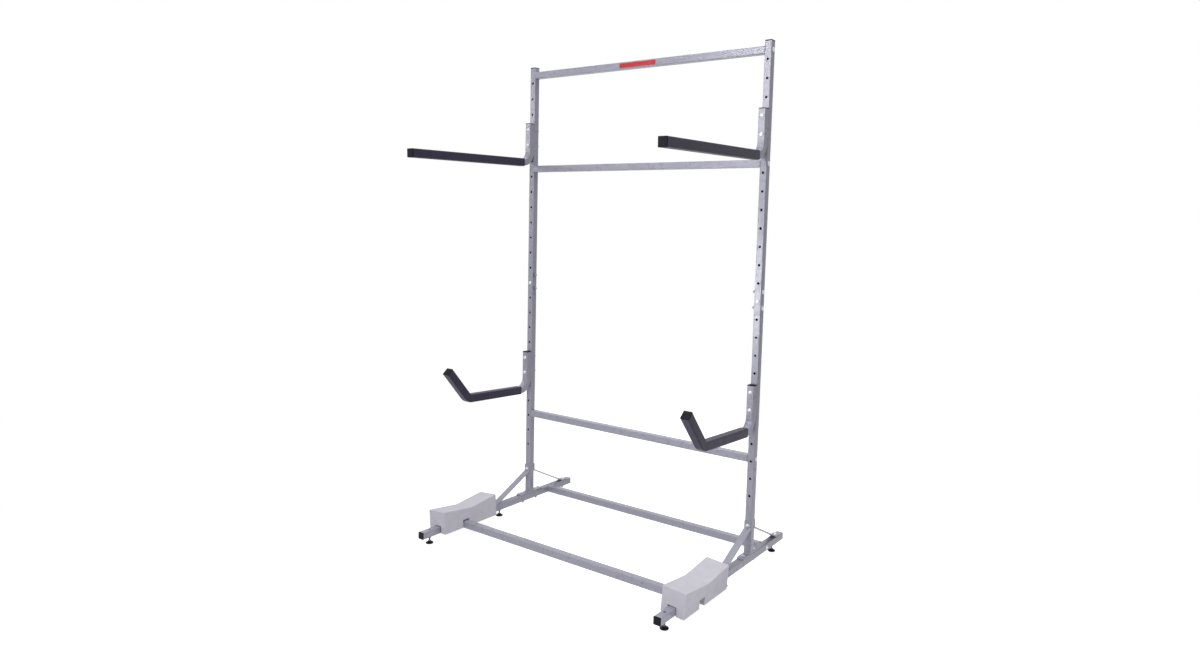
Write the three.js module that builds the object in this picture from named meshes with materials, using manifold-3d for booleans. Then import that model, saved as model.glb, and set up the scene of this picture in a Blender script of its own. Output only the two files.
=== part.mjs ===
// Freestanding kayak rack: two square-tube posts on a four-rail base, joined by three cross rails.
// Two straight arms and two J-shaped arms are bolted to the row of holes in the posts, two notched
// foam blocks sit on the base, and six levelling feet carry it all.
// Millimetres. X runs along the cross rails, -Y is the front, where the arms reach out, and Z is up.
// The origin is on the floor, under the middle of the rack's outline.
import * as THREE from "three";
import { mergeVertices } from "three/addons/utils/BufferGeometryUtils.js";
import Module from "manifold-3d";

const wasm = await Module();
wasm.setup();

// ---- Driving dimensions ----
const GAP = 0.3; // left between neighbouring pieces

const TUBE = 31.75; // outside width of every square tube
const TUBE_WALL = 1.6;
const TUBE_CORNER = 3.2; // outside corner radius

const POST_SPACING = 1273; // between the centre lines of the two posts
const POST_TOP = 2227; // upper end of the post's tube
const SEAM_HEIGHT = 1108.5; // where the upper post slides down onto the lower one
const SLEEVE_REACH = 105; // the splice sleeve, above and below the seam

const HOLE_COUNT = 25; // adjusting holes in each post, numbered from the top
const HOLE_PITCH = 76.2;
const HOLE_LOWEST = 325; // height of the last hole
const HOLE_DIAMETER = 11;
const SPLICE_HOLE = 13; // number of the hole that goes through both posts, just above the seam
const BOLT_DIAMETER = 9.5;

const BASE_FRONT = -721; // ends of the side rails, from the middle of the posts
const BASE_REAR = 317;
const BASE_UNDERSIDE = 33; // height of the base rails off the floor
const FRONT_RAIL_Y = -492;
const REAR_RAIL_Y = 147.5;

const LOWER_RAIL_HEIGHT = 488; // centre line of the lowest frame rail

const FOOT_PLATE_LENGTH = 165;
const FOOT_PLATE_THICK = 6;
const FOOT_BOLT_REACH = 50; // foot-plate bolts, before and behind the post

const STRUT_THICK = 5;
const STRUT_TOP = 216; // upper end of the strut's tab on the post
const STRUT_BOLT_HEIGHT = 195.5;
const STRUT_KNEE_HEIGHT = 180; // where the strut leaves the post
const STRUT_FOOT_Y = 250; // where it meets the side rail
const STRUT_TAB = 34; // length of its foot on the rail

const ARM_TOP_ABOVE_BOLT = 27; // the arm's tube goes on this far above its upper bolt
const ARM_BEND_RADIUS = 55; // at the centre line
const ARM_DROP = 86.5; // from the lower bolt down to the arm's centre line at the bend
const ARM_REACH = 782; // of the straight arm's tip, from the middle of the post
const STRAIGHT_ARM_SLOPE = -1.1; // degrees above level
const J_ARM_SLOPE = 2.5;
const J_ELBOW_Y = -444;
const J_ELBOW_RADIUS = 36;
const J_TIP_SLOPE = 49.5;
const J_TIP_LENGTH = 186; // from the elbow's corner to the end of the tube
const UPPER_ARM_HOLES = [3, 4]; // hole numbers that the arms' bolts go through
const LOWER_ARM_HOLES = [18, 19];
const PAD_THICK = 3; // wall of the soft sleeve on the arm
const PAD_CORNER = 5.5;

const CAP_THICK = 4; // part of a tube cap that shows
const CAP_PLUG = 12; // part that goes into the tube

const BLOCK_LENGTH = 330;
const BLOCK_WIDTH = 104;
const BLOCK_HEIGHT = 103;
const BLOCK_VALLEY = 20; // depth of the cradle at its middle
const BLOCK_VALLEY_RADIUS = 90;
const BLOCK_Y = -458;
const BLOCK_OUTWARD = 3.5; // the block's middle lies this far outside the rail's
const BLOCK_LEAN = 4.5; // degrees that the blocks lean outwards on the rails
const NOTCH_WIDTH = 38;
const NOTCH_DEPTH = 35.5;

const FOOT_PLACES = { front: -673, middle: -222, rear: 236 }; // Y from the middle of the posts
const STUD_DIAMETER = 8;
const STUD_BOTTOM = 4;
const STUD_LENGTH = 54;
const STUD_SIDES = 12; // faces round the stud, its nut and the hole in the rail
const PAD_DIAMETER = 35;
const PAD_RIM = 4; // height of the pad's upright rim
const PAD_RIM_ROUNDING = 1.5;
const PAD_SHOULDER = 7; // height where the pad's dish meets its hub
const PAD_SHOULDER_RADIUS = 10.5;
const PAD_HUB_RADIUS = 8.75;
const PAD_HEIGHT = 11; // top of the hub
const NUT_ACROSS = 13; // foot nut, across the flats
const NUT_HEIGHT = 6.5;

const HEAD_RADIUS = 10; // round head of an arm's bolt
const HEAD_HEIGHT = 5.5;
const ARM_NUT_ACROSS = 14.3;
const ARM_NUT_HEIGHT = 9;
const BOLT_END = 14; // the bolt ends this far behind the post

// ---- Worked-out places ----
const MERGE = 0.5; // overlap of solids that are joined into one
const INNER = TUBE - 2 * TUBE_WALL;
const INNER_CORNER = TUBE_CORNER - TUBE_WALL;
const POST_X = POST_SPACING / 2;
const RAIL_MIDDLE = BASE_UNDERSIDE + TUBE / 2;
const RAIL_TOP = BASE_UNDERSIDE + TUBE;
const POST_BASE = RAIL_TOP + GAP + FOOT_PLATE_THICK;
const CROSS_LENGTH = POST_SPACING - TUBE - 2 * GAP;
const holeHeight = (number) => HOLE_LOWEST + (HOLE_COUNT - 1 - number) * HOLE_PITCH;
const TOP_RAIL_HEIGHT = holeHeight(-0.5);
const MIDDLE_RAIL_HEIGHT = holeHeight(5.5);
const SPLICE_BOLTS = [holeHeight(SPLICE_HOLE) + 40, holeHeight(SPLICE_HOLE) - 27.5];
const ARM_Y = -(TUBE + GAP); // centre line of an arm's upright leg
const SIDES = { left: -1, right: 1 };

// ---- Finishes ----
const STEEL = { color: 0xa6a4ac, roughness: 0.5, metalness: 0.35 }; // silver-grey powder coat
const ZINC = { color: 0xd5d5d8, roughness: 0.3, metalness: 1 };
const BLACK = { color: 0x1d1c20, roughness: 0.55, metalness: 0 }; // moulded caps and feet
const SOFT = { color: 0x3d3a45, roughness: 0.8, metalness: 0 }; // arm sleeves
const FOAM = { color: 0xcfcdd4, roughness: 0.95, metalness: 0 };

const finishes = new Map();
function material(finish) {
  if (!finishes.has(finish)) finishes.set(finish, new THREE.MeshStandardMaterial(finish));
  return finishes.get(finish).clone();
}

// ---- Solids ----
function solidOf(geometry) {
  const bare = geometry.index ? geometry.toNonIndexed() : geometry.clone();
  bare.deleteAttribute("normal");
  bare.deleteAttribute("uv");
  const merged = mergeVertices(bare, 1e-3);
  return new wasm.Manifold(
    new wasm.Mesh({
      numProp: 3,
      vertProperties: merged.attributes.position.array,
      triVerts: new Uint32Array(merged.index.array),
    }),
  );
}

function geometryOf(solid) {
  const mesh = solid.getMesh();
  const positions = new Float32Array(mesh.numVert * 3);
  for (let i = 0; i < mesh.numVert; i++)
    positions.set(mesh.vertProperties.subarray(i * mesh.numProp, i * mesh.numProp + 3), i * 3);
  return new THREE.BufferGeometry()
    .setAttribute("position", new THREE.BufferAttribute(positions, 3))
    .setIndex(new THREE.BufferAttribute(new Uint32Array(mesh.triVerts), 1));
}

const joined = (pieces) => pieces.reduce((whole, piece) => whole.add(piece));
const cut = (piece, tools) => tools.reduce((whole, tool) => whole.subtract(tool), piece);

// ---- Sections ----
function roundedSquare(path, width, corner) {
  const flat = width / 2 - corner;
  path.absarc(flat, flat, corner, 0, Math.PI / 2);
  path.absarc(-flat, flat, corner, Math.PI / 2, Math.PI);
  path.absarc(-flat, -flat, corner, Math.PI, 1.5 * Math.PI);
  path.absarc(flat, -flat, corner, 1.5 * Math.PI, 2 * Math.PI);
  path.closePath();
  return path;
}

function tubeSection(width, wall, corner) {
  const section = roundedSquare(new THREE.Shape(), width, corner);
  section.holes.push(roundedSquare(new THREE.Path(), width - 2 * wall, corner - wall));
  return section;
}

// A section drawn in its own plane, run out along an axis from one place to another.
const TURNS = {
  x: (geometry) => geometry.rotateX(Math.PI / 2).rotateZ(Math.PI / 2),
  y: (geometry) => geometry.rotateX(-Math.PI / 2),
  z: (geometry) => geometry,
};
function runOut(section, axis, from, to, x, y, z, curveSegments = 2) {
  const geometry = new THREE.ExtrudeGeometry(section, {
    depth: to - from,
    bevelEnabled: false,
    curveSegments,
  });
  TURNS[axis](geometry);
  const start = { x: [from, y, z], y: [x, from, z], z: [x, y, from] }[axis];
  return geometry.translate(...start);
}

// The drill for a hole or the shank of a bolt: a bar along an axis.
function bar(axis, diameter, from, to, x, y, z, sides = 8) {
  const geometry = new THREE.CylinderGeometry(diameter / 2, diameter / 2, to - from, sides);
  if (axis === "x") geometry.rotateZ(Math.PI / 2);
  if (axis === "z") geometry.rotateX(Math.PI / 2);
  const middle = (from + to) / 2;
  const place = { x: [middle, y, z], y: [x, middle, z], z: [x, y, middle] }[axis];
  return solidOf(geometry.translate(...place));
}

function box(xFrom, xTo, yFrom, yTo, zFrom, zTo) {
  const geometry = new THREE.BoxGeometry(xTo - xFrom, yTo - yFrom, zTo - zFrom);
  return solidOf(geometry.translate((xFrom + xTo) / 2, (yFrom + yTo) / 2, (zFrom + zTo) / 2));
}

const tube = (axis, from, to, x, y, z) =>
  solidOf(runOut(tubeSection(TUBE, TUBE_WALL, TUBE_CORNER), axis, from, to, x, y, z));
const through = (axis, x, y, z, diameter = HOLE_DIAMETER, sides = 8) => {
  const middle = { x, y, z }[axis];
  return bar(axis, diameter, middle - TUBE, middle + TUBE, x, y, z, sides);
};

// ---- A centre line of straight legs and bends, which a section follows ----
// Each station holds a point and the angle of the line there, in the plane that X is square to.
class BentLine extends THREE.Curve {
  constructor(stations) {
    super();
    this.stations = stations;
  }
  getUtoTmapping(u) {
    return u;
  }
  getPoint(t, target = new THREE.Vector3()) {
    const { y, z } = this.stations[Math.round(t * (this.stations.length - 1))];
    return target.set(0, y, z);
  }
  getTangent(t, target = new THREE.Vector3()) {
    const { angle } = this.stations[Math.round(t * (this.stations.length - 1))];
    return target.set(0, -Math.cos(angle), Math.sin(angle));
  }
}

// Walks from a start: { run } goes straight on, { radius, to } turns to an angle in degrees.
// Angles are measured upwards from the forward direction, -Y.
function walk(start, moves, bendSteps = 5) {
  const stations = [{ ...start }];
  for (const move of moves) {
    const last = stations[stations.length - 1];
    if (move.run !== undefined) {
      stations.push({
        y: last.y - move.run * Math.cos(last.angle),
        z: last.z + move.run * Math.sin(last.angle),
        angle: last.angle,
      });
      continue;
    }
    const end = THREE.MathUtils.degToRad(move.to);
    const side = Math.sign(end - last.angle);
    const centre = {
      y: last.y + side * move.radius * Math.sin(last.angle),
      z: last.z + side * move.radius * Math.cos(last.angle),
    };
    for (let step = 1; step <= bendSteps; step++) {
      const angle = last.angle + ((end - last.angle) * step) / bendSteps;
      stations.push({
        y: centre.y - side * move.radius * Math.sin(angle),
        z: centre.z - side * move.radius * Math.cos(angle),
        angle,
      });
    }
  }
  return stations;
}

function sweep(section, stations, x, curveSegments = 2) {
  const geometry = new THREE.ExtrudeGeometry(section, {
    steps: stations.length - 1,
    extrudePath: new BentLine(stations),
    curveSegments,
  });
  return geometry.translate(x, 0, 0);
}

// ---- Base ----
function baseRail(x) {
  const feet = Object.values(FOOT_PLACES);
  const nutRadius = NUT_ACROSS / Math.sqrt(3);
  const nuts = feet.map((y) =>
    solidOf(
      new THREE.CylinderGeometry(nutRadius, nutRadius, NUT_HEIGHT + MERGE, 6)
        .rotateX(Math.PI / 2)
        .translate(x, y, BASE_UNDERSIDE - (NUT_HEIGHT - MERGE) / 2),
    ),
  );
  const rail = joined([tube("y", BASE_FRONT, BASE_REAR, x, 0, RAIL_MIDDLE), ...nuts]);
  return cut(rail, [
    ...feet.map((y) => through("z", x, y, RAIL_MIDDLE, STUD_DIAMETER + 2 * GAP, STUD_SIDES)),
    ...[-1, 1].map((side) => through("z", x, side * FOOT_BOLT_REACH, RAIL_MIDDLE)),
    ...[-1, 1].map((side) => through("z", x, side * (STRUT_FOOT_Y + STRUT_TAB / 2), RAIL_MIDDLE)),
    ...[FRONT_RAIL_Y, REAR_RAIL_Y].map((y) => through("x", x, y, RAIL_MIDDLE)),
  ]);
}

const crossRail = (y, z) => tube("x", -CROSS_LENGTH / 2, CROSS_LENGTH / 2, 0, y, z);

// ---- Posts ----
function lowerPost(x) {
  // The splice sleeve fills the lower tube, is a sliding fit in the upper one, and is hollow itself.
  const fitted = roundedSquare(new THREE.Shape(), INNER + GAP, INNER_CORNER);
  const sliding = roundedSquare(new THREE.Shape(), INNER - 2 * GAP, INNER_CORNER);
  const bore = roundedSquare(new THREE.Shape(), INNER - 2 * (GAP + TUBE_WALL), INNER_CORNER / 2);
  const top = SEAM_HEIGHT - GAP;
  const sleeveFrom = SEAM_HEIGHT - SLEEVE_REACH;
  const sleeveTo = SEAM_HEIGHT + SLEEVE_REACH;
  const post = joined([
    tube("z", POST_BASE - MERGE, top, x, 0, 0),
    solidOf(runOut(fitted, "z", sleeveFrom, top, x, 0, 0)),
    solidOf(runOut(sliding, "z", top - MERGE, sleeveTo, x, 0, 0)),
    box(
      x - TUBE / 2,
      x + TUBE / 2,
      -FOOT_PLATE_LENGTH / 2,
      FOOT_PLATE_LENGTH / 2,
      RAIL_TOP + GAP,
      POST_BASE,
    ),
  ]);
  const holes = [];
  for (let number = SPLICE_HOLE; number < HOLE_COUNT; number++)
    holes.push(through("y", x, 0, holeHeight(number)));
  return cut(post, [
    solidOf(runOut(bore, "z", sleeveFrom - MERGE, sleeveTo + MERGE, x, 0, 0)),
    ...holes,
    through("y", x, 0, STRUT_BOLT_HEIGHT),
    through("x", x, 0, LOWER_RAIL_HEIGHT),
    ...SPLICE_BOLTS.map((height) => through("x", x, 0, height)),
    ...[-1, 1].map((side) => through("z", x, side * FOOT_BOLT_REACH, RAIL_TOP)),
  ]);
}

function upperPost(x) {
  const holes = [];
  for (let number = 0; number <= SPLICE_HOLE; number++)
    holes.push(through("y", x, 0, holeHeight(number)));
  return cut(tube("z", SEAM_HEIGHT, POST_TOP, x, 0, 0), [
    ...holes,
    ...[TOP_RAIL_HEIGHT, MIDDLE_RAIL_HEIGHT, ...SPLICE_BOLTS].map((height) => through("x", x, 0, height)),
  ]);
}

// ---- Struts: flat bars with a tab at each end, one before and one behind each post ----
function strut(x, side) {
  const face = TUBE / 2 + GAP;
  const slope = Math.atan2(STRUT_KNEE_HEIGHT - RAIL_TOP, STRUT_FOOT_Y - face);
  const bend = STRUT_THICK * Math.tan((Math.PI / 2 - slope) / 2);
  const heel = STRUT_THICK * Math.tan(slope / 2);
  const outline = new THREE.Shape([
    new THREE.Vector2(face, STRUT_TOP),
    new THREE.Vector2(face, STRUT_KNEE_HEIGHT),
    new THREE.Vector2(STRUT_FOOT_Y, RAIL_TOP + GAP),
    new THREE.Vector2(STRUT_FOOT_Y + STRUT_TAB, RAIL_TOP + GAP),
    new THREE.Vector2(STRUT_FOOT_Y + STRUT_TAB, RAIL_TOP + GAP + STRUT_THICK),
    new THREE.Vector2(STRUT_FOOT_Y + heel, RAIL_TOP + GAP + STRUT_THICK),
    new THREE.Vector2(face + STRUT_THICK, STRUT_KNEE_HEIGHT + bend),
    new THREE.Vector2(face + STRUT_THICK, STRUT_TOP),
  ]);
  const geometry = new THREE.ExtrudeGeometry(outline, { depth: TUBE, bevelEnabled: false });
  geometry.rotateX(Math.PI / 2).rotateZ(Math.PI / 2); // outline into the YZ plane
  if (side < 0) geometry.rotateZ(Math.PI).translate(TUBE, 0, 0);
  const bolt = side * (STRUT_FOOT_Y + STRUT_TAB / 2);
  return cut(solidOf(geometry.translate(x - TUBE / 2, 0, 0)), [
    through("y", x, 0, STRUT_BOLT_HEIGHT),
    through("z", x, bolt, RAIL_TOP),
  ]);
}

// ---- Arms ----
// Both kinds hang on two bolts, bend forward under the lower one and carry a soft sleeve.
function armLine(holes, slope, moves) {
  const top = holeHeight(holes[0]) + ARM_TOP_ABOVE_BOLT;
  const bendTop = holeHeight(holes[1]) - ARM_DROP + ARM_BEND_RADIUS;
  const down = { y: ARM_Y, z: top, angle: -Math.PI / 2 };
  const bend = walk(down, [{ run: top - bendTop }, { radius: ARM_BEND_RADIUS, to: slope }]);
  const sleeved = walk(bend[bend.length - 1], moves);
  return { whole: [...bend, ...sleeved.slice(1)], sleeved };
}

function straightArmLine() {
  const slope = THREE.MathUtils.degToRad(STRAIGHT_ARM_SLOPE);
  const bendEnd = ARM_Y - ARM_BEND_RADIUS * (1 + Math.sin(slope));
  const run = (ARM_REACH - CAP_THICK + bendEnd) / Math.cos(slope);
  return armLine(UPPER_ARM_HOLES, STRAIGHT_ARM_SLOPE, [{ run }]);
}

function jArmLine() {
  const slope = THREE.MathUtils.degToRad(J_ARM_SLOPE);
  const turn = THREE.MathUtils.degToRad(J_TIP_SLOPE - J_ARM_SLOPE);
  const setback = J_ELBOW_RADIUS * Math.tan(turn / 2);
  const bendEnd = ARM_Y - ARM_BEND_RADIUS * (1 + Math.sin(slope));
  const run = (bendEnd - J_ELBOW_Y) / Math.cos(slope) - setback;
  return armLine(LOWER_ARM_HOLES, J_ARM_SLOPE, [
    { run },
    { radius: J_ELBOW_RADIUS, to: J_TIP_SLOPE },
    { run: J_TIP_LENGTH - setback },
  ]);
}

function armTube(line, holes, x) {
  const section = tubeSection(TUBE, TUBE_WALL, TUBE_CORNER);
  return cut(
    solidOf(sweep(section, line.whole, x)),
    holes.map((number) => through("y", x, ARM_Y, holeHeight(number))),
  );
}

function armSleeve(line, x) {
  const section = tubeSection(TUBE + 2 * GAP + 2 * PAD_THICK, PAD_THICK, PAD_CORNER);
  return solidOf(sweep(section, line.sleeved, x));
}

// A moulded cap, with its plug pointing along -Y and the open end of the tube at y = 0.
function capSolid(width) {
  const head = roundedSquare(new THREE.Shape(), width, width > TUBE ? PAD_CORNER : TUBE_CORNER);
  const plug = roundedSquare(new THREE.Shape(), INNER - 2 * GAP, INNER_CORNER);
  return joined([
    solidOf(runOut(head, "y", GAP, CAP_THICK, 0, 0, 0)),
    solidOf(runOut(plug, "y", -CAP_PLUG, GAP + MERGE, 0, 0, 0)),
  ]);
}

// ---- Foam block ----
// Its outline, seen along X, is a long block with a shallow V on top; the two notches underneath
// straddle the side rail and the front cross rail.
function foamBlock(x) {
  const out = Math.sign(x);
  const half = BLOCK_LENGTH / 2;
  const fall = Math.atan2(BLOCK_VALLEY, half);
  const rounding = BLOCK_VALLEY_RADIUS * Math.sin(fall);
  const floorHeight = BLOCK_HEIGHT - BLOCK_VALLEY;
  const outline = new THREE.Shape();
  outline.moveTo(-half, 0);
  outline.lineTo(half, 0);
  outline.lineTo(half, BLOCK_HEIGHT);
  outline.lineTo(rounding, floorHeight + rounding * Math.tan(fall));
  outline.quadraticCurveTo(0, floorHeight, -rounding, floorHeight + rounding * Math.tan(fall));
  outline.lineTo(-half, BLOCK_HEIGHT);
  outline.closePath();
  const geometry = new THREE.ExtrudeGeometry(outline, {
    depth: BLOCK_WIDTH,
    bevelEnabled: false,
    curveSegments: 6,
  });
  geometry.rotateX(Math.PI / 2).rotateZ(Math.PI / 2); // outline into the YZ plane
  geometry.translate(out * BLOCK_OUTWARD - BLOCK_WIDTH / 2, 0, 0);
  const crossNotch = FRONT_RAIL_Y - BLOCK_Y;
  const notch = NOTCH_WIDTH / 2;
  const notched = cut(solidOf(geometry), [
    box(-notch, notch, -half - MERGE, half + MERGE, -MERGE, NOTCH_DEPTH),
    box(-BLOCK_WIDTH, BLOCK_WIDTH, crossNotch - notch, crossNotch + notch, -MERGE, NOTCH_DEPTH),
  ]);
  // It rests on the outer top corner of the side rail, and leans outwards about it.
  const lean = THREE.MathUtils.degToRad(BLOCK_LEAN);
  const seat = RAIL_TOP + 2 * GAP + (TUBE / 2) * Math.sin(lean);
  return geometryOf(notched)
    .translate(0, 0, -NOTCH_DEPTH)
    .rotateY(out * lean)
    .translate(x, BLOCK_Y, seat);
}

// ---- Fasteners and feet ----
// A round-headed bolt through an arm and its post, with its nut run up behind the post.
function armBolt(x, height) {
  const front = ARM_Y - TUBE / 2 - GAP;
  const back = TUBE / 2 + GAP;
  const profile = [
    [0, 0],
    [HEAD_RADIUS, 0],
    [HEAD_RADIUS * 0.88, HEAD_HEIGHT * 0.48],
    [HEAD_RADIUS * 0.55, HEAD_HEIGHT * 0.84],
    [0, HEAD_HEIGHT],
  ].map(([across, up]) => new THREE.Vector2(across, up));
  const dome = new THREE.LatheGeometry(profile, 10).rotateX(Math.PI).translate(x, front, height);
  const nutRadius = ARM_NUT_ACROSS / Math.sqrt(3);
  const nut = new THREE.CylinderGeometry(nutRadius, nutRadius, ARM_NUT_HEIGHT, 6);
  return joined([
    solidOf(dome),
    bar("y", BOLT_DIAMETER, front - MERGE, back + BOLT_END, x, 0, height),
    solidOf(nut.translate(x, back + ARM_NUT_HEIGHT / 2, height)),
  ]);
}

function footPad(x, y) {
  const radius = PAD_DIAMETER / 2;
  const socket = STUD_DIAMETER / 2 + 2 * GAP;
  const profile = [
    [0, 0],
    [radius - PAD_RIM_ROUNDING, 0],
    [radius, PAD_RIM_ROUNDING],
    [radius, PAD_RIM],
    [PAD_SHOULDER_RADIUS, PAD_SHOULDER],
    [PAD_HUB_RADIUS, PAD_HEIGHT],
    [socket, PAD_HEIGHT],
    [socket, STUD_BOTTOM - GAP],
    [0, STUD_BOTTOM - GAP],
  ].map(([across, up]) => new THREE.Vector2(across, up));
  const geometry = new THREE.LatheGeometry(profile, 14).rotateX(Math.PI / 2);
  return solidOf(geometry.translate(x, y, 0));
}

function footStud(x, y) {
  const radius = STUD_DIAMETER / 2;
  const geometry = new THREE.CylinderGeometry(radius, radius, STUD_LENGTH, STUD_SIDES);
  return solidOf(geometry.rotateX(Math.PI / 2).translate(x, y, STUD_BOTTOM + STUD_LENGTH / 2));
}

// ---- Assembly, with the posts in the plane Y = 0 ----
const rack = new THREE.Group();
function add(name, shape, finish, parent = rack) {
  const geometry = shape.isBufferGeometry ? shape : geometryOf(shape);
  const mesh = new THREE.Mesh(geometry, material(finish));
  mesh.name = name;
  parent.add(mesh);
  return mesh;
}

// A cap is placed at the open end of a tube, looking along the tube's angle.
function addCap(name, width, x, y, z, angle) {
  const cap = add(name, capSolid(width), BLACK);
  cap.position.set(x, y, z);
  cap.rotation.x = Math.PI - angle;
}

function addBase() {
  for (const [side, sign] of Object.entries(SIDES)) {
    const x = sign * POST_X;
    add(`base_rail_${side}`, baseRail(x), STEEL);
    addCap(`base_cap_front_${side}`, TUBE, x, BASE_FRONT, RAIL_MIDDLE, 0);
    addCap(`base_cap_rear_${side}`, TUBE, x, BASE_REAR, RAIL_MIDDLE, Math.PI);
    for (const [place, y] of Object.entries(FOOT_PLACES)) {
      add(`foot_pad_${place}_${side}`, footPad(x, y), BLACK);
      add(`foot_stud_${place}_${side}`, footStud(x, y), ZINC);
    }
    add(`foam_block_${side}`, foamBlock(x), FOAM);
  }
  add("base_cross_rail_front", crossRail(FRONT_RAIL_Y, RAIL_MIDDLE), STEEL);
  add("base_cross_rail_rear", crossRail(REAR_RAIL_Y, RAIL_MIDDLE), STEEL);
}

function addFrame() {
  for (const [side, sign] of Object.entries(SIDES)) {
    const x = sign * POST_X;
    add(`lower_post_${side}`, lowerPost(x), STEEL);
    add(`upper_post_${side}`, upperPost(x), STEEL);
    addCap(`post_cap_${side}`, TUBE, x, 0, POST_TOP, Math.PI / 2);
    add(`strut_front_${side}`, strut(x, -1), STEEL);
    add(`strut_rear_${side}`, strut(x, 1), STEEL);
  }
  add("frame_rail_lower", crossRail(0, LOWER_RAIL_HEIGHT), STEEL);
  add("frame_rail_middle", crossRail(0, MIDDLE_RAIL_HEIGHT), STEEL);
  add("frame_rail_top", crossRail(0, TOP_RAIL_HEIGHT), STEEL);
}

function addArms(kind, line, holes) {
  for (const [side, sign] of Object.entries(SIDES)) {
    const x = sign * POST_X;
    const top = line.whole[0];
    const tip = line.whole[line.whole.length - 1];
    add(`${kind}_arm_${side}`, armTube(line, holes, x), STEEL);
    add(`${kind}_arm_sleeve_${side}`, armSleeve(line, x), SOFT);
    addCap(`${kind}_arm_top_cap_${side}`, TUBE, x, top.y, top.z, Math.PI / 2);
    addCap(`${kind}_arm_tip_cap_${side}`, TUBE + 2 * PAD_THICK, x, tip.y, tip.z, tip.angle);
    holes.forEach((number, index) =>
      add(`${kind}_arm_bolt_${index + 1}_${side}`, armBolt(x, holeHeight(number)), ZINC),
    );
  }
}

addBase();
addFrame();
addArms("upper", straightArmLine(), UPPER_ARM_HOLES);
addArms("lower", jArmLine(), LOWER_ARM_HOLES);

// The middle of the rack's outline, from the straight arms' tips to the rear caps, goes over the origin.
rack.updateMatrixWorld(true);
const outline = new THREE.Box3().setFromObject(rack, true);
rack.position.y = -(outline.min.y + outline.max.y) / 2;
const kayakRack = new THREE.Group();
kayakRack.add(rack);

export default kayakRack;
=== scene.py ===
"""Looks of a freestanding kayak rack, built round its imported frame.

Metres, in the frame's own axes: X runs along the cross rails, -Y is the front and Z is up.
"""

from __future__ import annotations

import logging
import math
from collections.abc import Callable, Iterable, Sequence
from dataclasses import dataclass, field
from enum import Enum
from functools import cache

import bmesh
import bpy
from bmesh.types import BMEdge, BMesh, BMVert
from bpy.types import Material, Node, NodeSocket, NodeTree, Object
from mathutils import Matrix, Vector, noise

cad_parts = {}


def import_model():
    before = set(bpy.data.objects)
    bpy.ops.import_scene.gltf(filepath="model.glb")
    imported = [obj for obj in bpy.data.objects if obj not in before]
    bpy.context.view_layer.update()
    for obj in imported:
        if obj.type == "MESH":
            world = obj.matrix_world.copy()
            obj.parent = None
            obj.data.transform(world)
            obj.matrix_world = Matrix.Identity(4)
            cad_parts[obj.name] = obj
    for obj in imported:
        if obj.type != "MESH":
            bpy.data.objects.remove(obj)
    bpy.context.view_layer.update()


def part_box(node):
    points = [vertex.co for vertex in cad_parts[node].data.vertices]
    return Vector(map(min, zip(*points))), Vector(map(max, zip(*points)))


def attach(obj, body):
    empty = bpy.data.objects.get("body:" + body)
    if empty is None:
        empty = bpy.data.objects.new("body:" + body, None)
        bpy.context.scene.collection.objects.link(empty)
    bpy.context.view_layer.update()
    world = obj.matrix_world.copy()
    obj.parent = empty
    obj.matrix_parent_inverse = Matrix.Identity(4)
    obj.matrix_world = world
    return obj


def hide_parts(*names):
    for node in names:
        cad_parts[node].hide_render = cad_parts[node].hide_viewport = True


LOG = logging.getLogger("kayak_rack")
RACK = "rack"  # the body that everything but the levelling feet rides on

ACROSS = Vector((1, 0, 0))
REARWARD = Vector((0, 1, 0))
UP = Vector((0, 0, 1))


class Side(Enum):
    """The two ends of the rack, by the sign of X."""

    LEFT = -1
    RIGHT = 1

    @property
    def label(self) -> str:
        """The word that the side's nodes and pieces end with."""
        return self.name.lower()


class Layer(Enum):
    """Which of a piece's finishes a face takes."""

    COAT = 0
    RIM = 1
    INSIDE = 2


# ---- Finishes ----
def linear(colour: str) -> tuple[float, float, float, float]:
    """Turns an sRGB hex colour to linear light.

    Args:
        colour: Six hex digits after a hash.

    Returns:
        Linear red, green and blue, and an alpha of 1.
    """
    shades = [int(colour[i : i + 2], 16) / 255 for i in (1, 3, 5)]
    return (*(s / 12.92 if s <= 0.04045 else ((s + 0.055) / 1.055) ** 2.4 for s in shades), 1.0)


def add_node(
    tree: NodeTree, kind: str, settings: dict | None = None, links: dict | None = None
) -> Node:
    """Adds one node with its settings and links.

    Args:
        tree: The material's or world's node tree.
        kind: Blender's name for the node.
        settings: Values by the name of a property, or by the name or number of an input.
        links: Output sockets by the name or number of the input that they feed.

    Returns:
        The new node.
    """
    node = tree.nodes.new(kind)
    for key, value in (settings or {}).items():
        if isinstance(key, str) and hasattr(node, key):
            setattr(node, key, value)
        else:
            node.inputs[key].default_value = value
    for key, socket in (links or {}).items():
        tree.links.new(socket, node.inputs[key])
    return node


def ranged(
    tree: NodeTree, value: NodeSocket, source: tuple[float, float], result: tuple[float, float]
) -> NodeSocket:
    """Fits a value from one range to another.

    Args:
        tree: The node tree.
        value: The socket that holds it.
        source: The range that it has.
        result: The range that it gets.

    Returns:
        The socket of the fitted value.
    """
    ends = {"From Min": source[0], "From Max": source[1], "To Min": result[0], "To Max": result[1]}
    return add_node(tree, "ShaderNodeMapRange", ends, {"Value": value}).outputs["Result"]


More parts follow.
